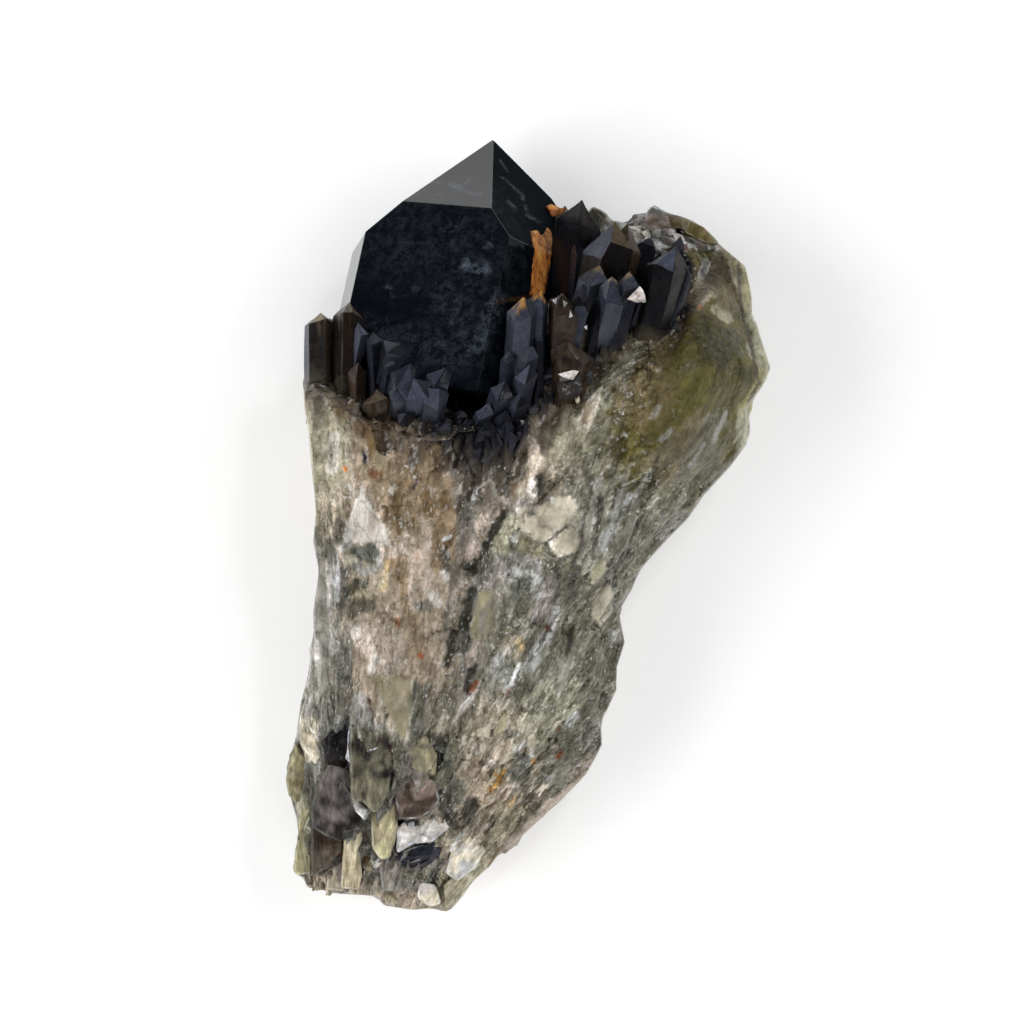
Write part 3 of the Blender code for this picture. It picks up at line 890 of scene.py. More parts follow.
def edge_row(px):
    """The pixel row of the druse's lower edge at this pixel column."""
    for (x0, y0), (x1, y1) in zip(DRUSE_EDGE, DRUSE_EDGE[1:]):
        if x0 <= px <= x1:
            return y0 + (y1 - y0) * (px - x0) / (x1 - x0)
    return None


def edge_depth(px, py):
    """How far this pixel is inside the druse, down the picture; negative below the druse's edge."""
    low = edge_row(min(max(px, 303.5), 691.5))
    return low - py - max(px - 691.5, 0) * 1.4


def dip_at_feet(place):
    """The dip along the crystals' feet, in millimetres."""
    depth = edge_depth(*pixel_of(place))
    share = 0.35 + 0.65 * smooth(360.0, 410.0, pixel_of(place)[0])
    return -1.8 * share * math.exp(-(((depth + 4) / 16) ** 2)) * smooth(24.0, 32.0, place.z)


# %% Move the root's points
points = [vert.co / MM - SHIFT for vert in root.data.vertices]
normals = [vert.normal.copy() for vert in root.data.vertices]
for vert, place, normal in zip(root.data.vertices, points, normals):
    height = fine_relief(place, lobe_share(place), block_share(place))
    height *= 0.15 + 0.85 * smooth(0.15, 0.6, normal.z)
    height += coarse_relief(place) * (1 - 0.75 * lobe_share(place)) + dip_at_feet(place)
    moved = place + normal * height
    moved.z = max(moved.z, 0.0)
    vert.co = (moved + SHIFT) * MM
root.data.update()
pick(root)
select_nothing()
for vert, normal in zip(root.data.vertices, normals):
    vert.select = abs(normal.z) < 0.4
edit_mode()
bpy.ops.mesh.vertices_smooth(factor=0.5, repeat=4)
bpy.ops.mesh.select_all(action="DESELECT")
object_mode()
for vert, place, normal in zip(root.data.vertices, points, normals):
    vert.select = place.y < -50.0 and normal.z < 0.5
edit_mode()
bpy.ops.mesh.vertices_smooth(factor=0.5, repeat=6)
object_mode()

# %% [markdown]
# The stone's outline has corners of its own, where pieces broke off. They were read off the photograph one
# by one, and the steep sides near them are pulled over to them.

# %% Corners of the stone's outline
OUTLINE = spots("""
    705,231 714,239 730,253 746,266 752,297 752,318 757,323 763,346 770,368 761,387 747,407 746,444 730,466
    702,496 687,519 669,537 641,568 632,588 618,611 625,642 617,667 617,690 601,721 602,745 586,774 559,803
    525,832 502,849 490,867 475,880 458,902 449,913 431,909 412,910 384,906 378,896 342,895 323,890 307,888
    303,878 292,872 299,835 297,819 289,795 286,767 297,736 301,700 308,676 315,641 313,612 319,571 313,542
    316,513 313,479 309,432 305,410 304,392
""")
SNAP_REACH, SNAP_FADE = 9.0, 3.0
STEEP = 0.62
BOX_MARGIN = 0.00003


def keep_in_box(vert):
    """Keeps a point just inside the sides of the solid's box."""
    vert.co.x = min(max(vert.co.x, cad_box[0][0] + BOX_MARGIN), cad_box[1][0] - BOX_MARGIN)
    vert.co.y = min(max(vert.co.y, cad_box[0][1] + BOX_MARGIN), cad_box[1][1] - BOX_MARGIN)


for vert, normal in zip(root.data.vertices, normals):
    if abs(normal.z) > STEEP:
        continue
    place = vert.co / MM - SHIFT
    pixel, nearest, gap = Vector(pixel_of(place)), None, SNAP_REACH
    for start, end in zip(OUTLINE, OUTLINE[1:]):
        start, line = Vector(start), Vector(end) - Vector(start)
        spot = start + line * min(max((pixel - start).dot(line) / line.length_squared, 0.0), 1.0)
        if (spot - pixel).length < gap:
            nearest, gap = spot, (spot - pixel).length
    if nearest is not None:
        share = 0.85 * min((SNAP_REACH - gap) / SNAP_FADE, 1.0) * min((STEEP - abs(normal.z)) / 0.2, 1.0)
        vert.co.x += (nearest.x - pixel.x) * PIXEL * share * MM
        vert.co.y -= (nearest.y - pixel.y) * PIXEL * share * MM
    keep_in_box(vert)
root.data.update()
print("root relief done,", len(root.data.vertices), "points")

# %% [markdown]
# ## Druse
# Between the larger crystals stand hundreds of small ones. Six shapes are cut once and copied, each copy at
# its own size, lean and turn, and with its own mesh.

# %% Six small crystals to copy
VARIANTS = []
for number in range(6):
    sway = [noise.cell(Vector((number * 2.3 + 0.5, face * 1.9 + 0.5, 0.5))) for face in range(6)]
    prism = [0.5 * (1 + 0.22 * (2 * value - 1)) for value in sway]
    rise = [0.30 * value * (face % 2) for face, value in enumerate(sway)]
    shape = cut_crystal(f"druse_{number}", -SHIFT, Vector((0, 1, 0)), Vector((0, 0, 1)), prism, rise, 4.0)
    VARIANTS.append(shape)


def copy_small(number, tip, axis, turn, width, length):
    """A copy of a small crystal with its tip, axis and width, and its foot at the given length."""
    mesh = VARIANTS[number % len(VARIANTS)].data.copy()
    for vert in mesh.vertices:
        if vert.co.y < -2.0 * MM:
            vert.co.y = -length / width * MM
    front = facing(axis, turn)
    side = axis.cross(front).normalized()
    turned = Matrix((side, axis, front)).transposed().to_4x4()
    mesh.transform(Matrix.Translation((tip + SHIFT) * MM) @ turned @ Matrix.Scale(width, 4))
    copy = bpy.data.objects.new("druse", mesh)
    bpy.context.scene.collection.objects.link(copy)
    return copy


# %% Rows of small crystals
DRUSE_ROWS = (
    # count, first and last root point, lean right at each end, lean forward, width, length
    (7, (-32.0, 27.0, 23.0), (-26.0, 27.0, 8.0), (-6, -4), -4, 3.4, 9.0),
    (6, (-24.0, 27.0, 8.0), (-4.0, 26.0, 8.0), (-6, 6), -12, 3.8, 10.0),
    (8, (3.0, 27.0, 37.0), (23.0, 36.0, 33.0), (6, 20), 8, 3.4, 11.0),
    (6, (8.0, 38.0, 30.0), (20.0, 39.0, 28.0), (6, 22), 8, 3.4, 11.0),
)
small = []
for row, (count, first, last, leans, forward, width, length) in enumerate(DRUSE_ROWS):
    for number in range(count):
        share = number / (count - 1)
        sway = noise.cell_vector(Vector((row * 5.3 + 0.5, number * 1.7 + 0.5, 2.5)))
        foot = Vector(first).lerp(Vector(last), share) + (sway - Vector((0.5, 0.5, 0.5))) * 2.4
        right = leans[0] + (leans[1] - leans[0]) * share + 14 * (sway.x - 0.5)
        lean = forward + 16 * (sway.y - 0.5)
        size = width * (0.8 + 0.5 * sway.z)
        axis = leaning(right, lean)
        tip = foot + axis * length * (0.35 + 0.3 * sway.x)
        small.append(copy_small(row + number, tip, axis, 60 * sway.y, size, length))
print(len(small), "crystals in rows")

# %% Small crystals that fill the gaps
root_tree = BVHTree.FromObject(root, bpy.context.evaluated_depsgraph_get())


def root_height(x, y):
    """The root's top surface at this place, in millimetres, or None beside it."""
    hit = root_tree.ray_cast((Vector((x, y, 90)) + SHIFT) * MM, Vector((0, 0, -1)))
    return None if hit[0] is None else hit[0].z / MM


rng = random.Random(11)
filled = 0
for _ in range(760):
    px, py = rng.uniform(304, 680), rng.uniform(240, 466)
    low = edge_row(px)
    if low is None or py > low - 4 or py < low - 62:
        continue
    place = seen_at(px, py, 38.0)
    height = root_height(place.x, place.y)
    if height is None or height < 20.0 or (px < 388 and py > low - 40):
        continue
    place = seen_at(px, py, height)
    depth = min((low - py) / 62.0, 1.0)
    fan_lean = math.degrees(math.atan2(place.x - FAN_X, place.y - FAN_Y)) * 0.8
    axis = leaning(fan_lean + rng.gauss(0, 14), rng.uniform(20, 62))
    width = rng.uniform(1.6, 3.6) * (0.7 + 0.5 * depth)
    tip = place + Vector((0, 0, 0.4)) + axis * width * rng.uniform(0.2, 0.8)
    small.append(copy_small(rng.randrange(6), tip, axis, rng.uniform(0, 60), width, width * 3.0))
    filled += 1
print(filled, "more to fill the gaps")

druse = joined("druse", small)
for shape in VARIANTS:
    bpy.data.objects.remove(shape, do_unlink=True)
print("druse", len(druse.data.polygons), "faces")

# %% [markdown]
# ## Flat pieces in the root
# At the broken end, and here and there up the root, flat pieces of quartz lie in the mass: plates, teeth
# and blocks. Each is drawn as an outline over the root, and the surface inside it is pressed to a tilted
# plane.

# %% Outlines of the flat pieces
FLATS = {
    # tone, lift in mm, tilt to the right and down in degrees, chamfer in mm, then the outline in pixels
    "tooth": (
        "olive grey", 1.0, -8, 6, 0.35,
        "372,675 399,676 414,680 412,708 407,742 399,738 389,717 378,696",
    ),
    "black_hollow": (
        "black glass", 0.4, -12, 10, 0.25,
        "331,728 341,722 351,716 351,764 344,769 336,769 328,756",
    ),
    "right_plate": (
        "pale sand", 1.2, -6, -6, 0.30,
        "517,508 529,506 541,505 553,497 563,495 575,501 578,512 568,524 556,531 546,543 533,541 520,531",
    ),
    "inner_plate": (
        "pale sand", 1.9, -4, -8, 0.22,
        "525,515 536,515 540,527 556,529 549,540 540,545 534,534 526,532",
    ),
    "second_plate": (
        "pale sand", 1.7, 8, 10, 0.28,
        "555,537 565,528 577,528 580,546 571,555 558,557 549,547",
    ),
    "long_plate": (
        "olive grey", 1.6, -8, 4, 0.35,
        "480,590 495,588 493,612 494,629 488,639 476,642 470,634 472,612",
    ),
    "edge_plate": ("pale sand", 1.8, 10, 4, 0.35, "591,602 600,589 608,579 614,598 611,617 600,627 590,615"),
    "edge_plate_b": ("pale green", 1.0, -6, 4, 0.30, "594,563 602,556 608,568 602,580 592,586 588,574"),
    "white_facet": ("chalk", 0.6, -6, 6, 0.20, "362,486 372,504 384,528 392,546 368,543 344,542 350,516"),
    "lump_a": ("pale sand", 1.4, 4, 6, 0.35, "477,730 485,723 491,726 492,738 484,740 477,737"),
    "lump_b": ("pale honey", 1.6, -4, 4, 0.40, "503,710 510,712 509,724 500,738 493,739 494,726"),
    "lump_c": ("pale sand", 1.6, 4, 8, 0.35, "529,736 536,732 538,741 534,750 529,758 526,745"),
    "lump_d": ("pale lilac", 1.0, 6, 6, 0.30, "547,738 554,738 555,747 549,750"),
    "pink_plate": ("pale lilac", 1.2, -16, 4, 0.25, "474,693 477,700 466,712 453,722 458,710"),
    "fibre_a": ("fibre grey", 0.5, 14, 0, 0.20, "596,478 604,472 592,532 580,566 577,556 586,520"),
    "fibre_b": ("silver", 0.5, -12, 0, 0.20, "618,490 628,480 612,530 598,560 596,548 608,520"),
    "fibre_c": ("grey", 0.6, 16, 0, 0.20, "634,500 646,490 630,536 614,566 612,552 624,526"),
    "fibre_d": ("silver", 0.5, -14, 0, 0.20, "552,628 560,614 546,652 530,680 528,668 540,648"),
    "fibre_e": ("fibre grey", 0.5, 12, 0, 0.20, "574,640 582,630 572,668 558,700 556,690 566,664"),
    "edge_strip": ("fibre grey", 0.5, -16, 0, 0.20, "316,560 326,556 330,620 328,690 318,700 318,640"),
    "low_bar": (
        "pink beige", 0.9, 10, 20, 0.30,
        "594,764 588,778 560,804 530,832 506,850 500,842 530,816 566,786",
    ),
}

FLATS = {name: (*look, spots(outline)) for name, (*look, outline) in FLATS.items()}

# %% [markdown]
# Below the druse, brown crystals lie sunk in the root with only their upper faces showing. Each is one flat
# piece too: six corners round a line that points away from the fan's middle.

# %% Brown crystals sunk in the root
SUNK = (
    # pixel of the tip, width in pixels, and tone
    (381, 393, 22, "deep brown"), (404, 400, 14, "deep brown"), (418, 409, 12, "smoke brown"),
    (431, 415, 12, "deep brown"), (446, 414, 13, "navy"), (350, 398, 16, "bronze"), (334, 394, 13, "bronze"),
    (397, 430, 9, "smoke brown"), (411, 446, 8, "smoke brown"), (437, 440, 9, "bronze"),
    (470, 470, 10, "smoke brown"), (488, 478, 12, "lilac brown"), (505, 470, 9, "smoke brown"),
    (366, 426, 14, "bronze"), (556, 402, 18, "deep brown"), (546, 424, 12, "smoke brown"),
    (571, 400, 14, "deep brown"), (590, 398, 10, "bronze"), (526, 452, 11, "smoke brown"),
    (386, 418, 12, "smoke brown"), (422, 436, 10, "smoke brown"), (452, 446, 10, "deep brown"),
    (480, 458, 11, "deep brown"), (514, 480, 9, "bronze"), (318, 392, 14, "smoke brown"),
    (464, 438, 8, "navy"), (427, 478, 8, "bronze"), (448, 488, 9, "bronze"),
)
SUNK_CORNERS = ((0, 0.1), (0.55, 0.5), (2.4, 0.42), (2.9, 0.1), (2.5, -0.38), (0.45, -0.5))
for number, (px, py, width, tone) in enumerate(SUNK):
    tip = seen_at(px, py, 38.0)
    lean = math.atan2(tip.x - FAN_X, tip.y - FAN_Y)
    lean += 0.25 * (noise.cell(Vector((number + 0.5, 2.5, 0.5))) - 0.5)
    back = Vector((-math.sin(lean), math.cos(lean)))
    side = Vector((math.cos(lean), math.sin(lean)))
    corners = []
    for down, across in SUNK_CORNERS:
        spot = Vector((px, py)) + (back * down + side * across) * width
        corners.append((spot.x, spot.y))
    tilt = 24 * (noise.cell(Vector((number + 0.5, 7.5, 0.5))) - 0.5)
    FLATS[f"sunk_{number}"] = (tone, 0.7, tilt, -4, 0.35, corners)
print(len(FLATS), "flat pieces")


# %% Press the surface flat inside each outline
def how_near(pixels, path):
    """The distance of each pixel from a path."""
    nearest = np.full(len(pixels), 1e9)
    for start, end in zip(path, path[1:]):
        start, end = np.array(start, float), np.array(end, float)
        line = end - start
        share = np.clip(((pixels - start) @ line) / (line @ line), 0, 1)
        nearest = np.minimum(nearest, np.linalg.norm(pixels - start - share[:, None] * line, axis=1))
    return nearest


def near_share(pixels, path, width):
    """1 along a path, fading to 0 at one and a half times the width."""
    return np.clip(1.5 - how_near(pixels, spots(path)) / width, 0, 1)


def close_to(pixels, path, margin):
    """The numbers of the pixels in the box round a path."""
    corners = np.array(path, float)
    return np.flatnonzero(((pixels > corners.min(0) - margin) & (pixels < corners.max(0) + margin)).all(1))


def depth_inside(pixels, outline):
    """How far each pixel is inside an outline; negative outside it."""
    within = np.zeros(len(pixels), bool)
    for (x0, y0), (x1, y1) in zip(outline, [*outline[1:], outline[0]]):
        crosses = (y0 > pixels[:, 1]) != (y1 > pixels[:, 1])
        across = x0 + (pixels[:, 1] - y0) * (x1 - x0) / ((y1 - y0) or 1e-9)
        within ^= crosses & (pixels[:, 0] < across)
    away = how_near(pixels, [*outline, outline[0]])
    return np.where(within, away, -away)


root_places = [vert.co / MM - SHIFT for vert in root.data.vertices]
root_pixels = np.array([pixel_of(place) for place in root_places])
seen_from_above = np.array([vert.normal.z > 0.1 for vert in root.data.vertices])
ragged = np.array([noise.noise_vector(place / 1.1)[:2] for place in root_places]) * 2.2
glassy = np.array([0.66 * lobe_share(place) for place in root_places])
new_heights = np.array([place.z for place in root_places])
flat_depth = {}
MOST_PRESSED = 1.6
for name, (tone, lift, right, down, chamfer, outline) in FLATS.items():
    near = close_to(root_pixels, outline, 6)
    near = near[seen_from_above[near]]
    depth = depth_inside(root_pixels[near] + ragged[near], outline)
    flat_depth[name] = (near, depth)
    core = near[depth > 0]
    if not len(core):
        continue
    middle, level = root_pixels[core].mean(0), np.median(new_heights[core])
    offset = (root_pixels[near] - middle) * PIXEL
    plane = level + lift * 0.55 - offset @ np.tan(np.radians((right, down)))
    plane -= chamfer * np.clip(1 - depth / 2.5, 0, 1)
    plane = np.clip(plane, new_heights[near] - MOST_PRESSED, new_heights[near] + MOST_PRESSED)
    ease = np.clip((depth + 0.4) / 1.2, 0, 1) * 0.85
    new_heights[near] = new_heights[near] * (1 - ease) + plane * ease
    glassy[near] = np.maximum(glassy[near], 0.5 * np.clip(depth / 2, 0, 1))
for vert, place, height in zip(root.data.vertices, root_places, new_heights):
    vert.co.z = max(height, 0.0) * MM
print("pressed", len(flat_depth), "flat pieces")

# %% [markdown]
# The grain isn't the same all over either: the right side is streaked by long fibres, the left side and the
# broken end are crisp with chips, and the pressed pieces and the lobe are glassy. Each point stores the
# three for the material.

# %% Where the root is glassy, streaky and crisp


def store(obj, **layers):
    """Stores a value, or one value for each point, under the layer's name."""
    for name, values in layers.items():
        layer = obj.data.attributes.new(name, "FLOAT", "POINT")
        layer.data.foreach_set("value", np.full(len(obj.data.vertices), values, np.float32))


STREAKY = (
    # strength, half width in pixels, then the path in pixels
    (1.0, 60, "690,420 620,520 575,620 530,720"),
    (1.0, 24, "320,500 322,700"),
    (0.8, 20, "520,500 470,600 450,690"),
    (0.45, 60, "400,480 404,660"),
    (0.6, 22, "350,690 352,760"),
    (0.6, 40, "590,720 500,850"),
)
streaky = np.full(len(root_places), 0.10)
crisp = np.full(len(root_places), 1.2)
for strength, width, path in STREAKY:
    streaky = np.maximum(streaky, strength * near_share(root_pixels, path, width))
end_share = near_share(root_pixels, "330,800 430,820 430,880 330,860", 50)
streaky *= 1 - 0.6 * end_share
crisp -= 0.3 * end_share
crisp -= 0.5 * near_share(root_pixels, "395,470 404,650", 60)
for near, deep in flat_depth.values():
    inside = np.clip(deep / 2.5, 0, 1)
    streaky[near] *= 1 - 0.8 * inside
    crisp[near] *= 1 - 0.45 * inside
store(root, glassy=glassy, streaky=streaky, crisp=crisp)
pick(root)
bpy.ops.object.shade_smooth_by_angle(angle=SMOOTH_ANGLE)
print("mean share of streaks", round(float(streaky.mean()), 2), "and of chips", round(float(crisp.mean()), 2))

# %% [markdown]
# ## Colours, brushed on
# The root changes colour from place to place, and no pattern can know where. So the colours are brushed on,
# as on a plaster cast: each stroke has a tone, a width and a path over the picture, and a ragged border
# that follows the fibres. The strokes are stored as a colour of each point, and the fine grain comes from
# the material.

# %% Tones of the stone
TONES = {
    # red, green and blue as the eye sees them, from 0 to 255
    "grey": (124, 120, 111), "fibre grey": (150, 146, 137), "dark fibre": (86, 83, 74),
    "silver": (166, 166, 162), "beige": (156, 143, 124), "tan": (134, 115, 89), "pink beige": (178, 165, 150),
    "sand": (158, 148, 128), "pale sand": (188, 180, 160), "chalk": (208, 203, 194),
    # the white vein tone is partly white veins in the quartz and partly painted glints
    "white vein": (224, 224, 222), "pale lilac": (176, 168, 162), "lilac brown": (112, 100, 92),
    "grey lilac": (140, 132, 127), "pale green": (160, 156, 132), "green grey": (112, 110, 94),
    "moss grey": (112, 108, 90), "moss brown": (98, 88, 62), "olive grey": (138, 132, 106),
    "dull olive": (146, 143, 104), "pale olive": (156, 154, 130), "olive": (84, 78, 44),
    "dark olive": (60, 56, 28), "moss": (82, 78, 38), "honey green": (152, 147, 116),
    "honey grey": (150, 139, 114), "pale honey": (170, 162, 136), "honey": (190, 164, 106),
    "smoke grey": (88, 90, 82), "smoke brown": (78, 70, 60), "deep brown": (60, 48, 36),
    # the tones of the groove and the pits are painted shade, for recesses and cracks
    "shaded groove": (50, 49, 40), "shaded pit": (34, 34, 30), "black glass": (26, 26, 30), "navy": (43, 45, 55),
    "rust": (150, 78, 34), "dark rust": (112, 58, 26), "ochre": (172, 126, 60), "orange": (206, 118, 44),
    "bronze": (104, 84, 56), "brown black": (38, 33, 30), "umber": (60, 46, 36), "slate": (57, 60, 71),
    "blue slate": (70, 73, 86), "slate blue": (48, 52, 63), "tan grey": (120, 112, 98),
    "bronze brown": (78, 68, 50), "lilac white": (206, 206, 218), "smoke lilac": (100, 93, 90),
}
SHINE = 0.006
DARK_BELOW = 0.06


def albedo(tone):
    """The tone as the colour of a surface, less the shine that the light adds."""
    linear = [((value / 255 + 0.055) / 1.055) ** 2.4 for value in TONES[tone]]
    if sum(linear) / 3 > DARK_BELOW:
        return [value - SHINE for value in linear]
    return [value * max(1 - SHINE * 3 / sum(linear), 0.3) for value in linear]


def over(colour, tone, share):
    """A colour with a tone laid over it."""
    return colour * (1 - share) + np.array(albedo(tone)) * share


def store_paint(mesh, colours, domain):
    """Stores red, green and blue for each point, or for each corner of each face."""
    layer = mesh.color_attributes.get("paint") or mesh.color_attributes.new("paint", "FLOAT_COLOR", domain)
    solid = np.column_stack((colours, np.ones(len(colours))))
    layer.data.foreach_set("color", solid.astype(np.float32).ravel())


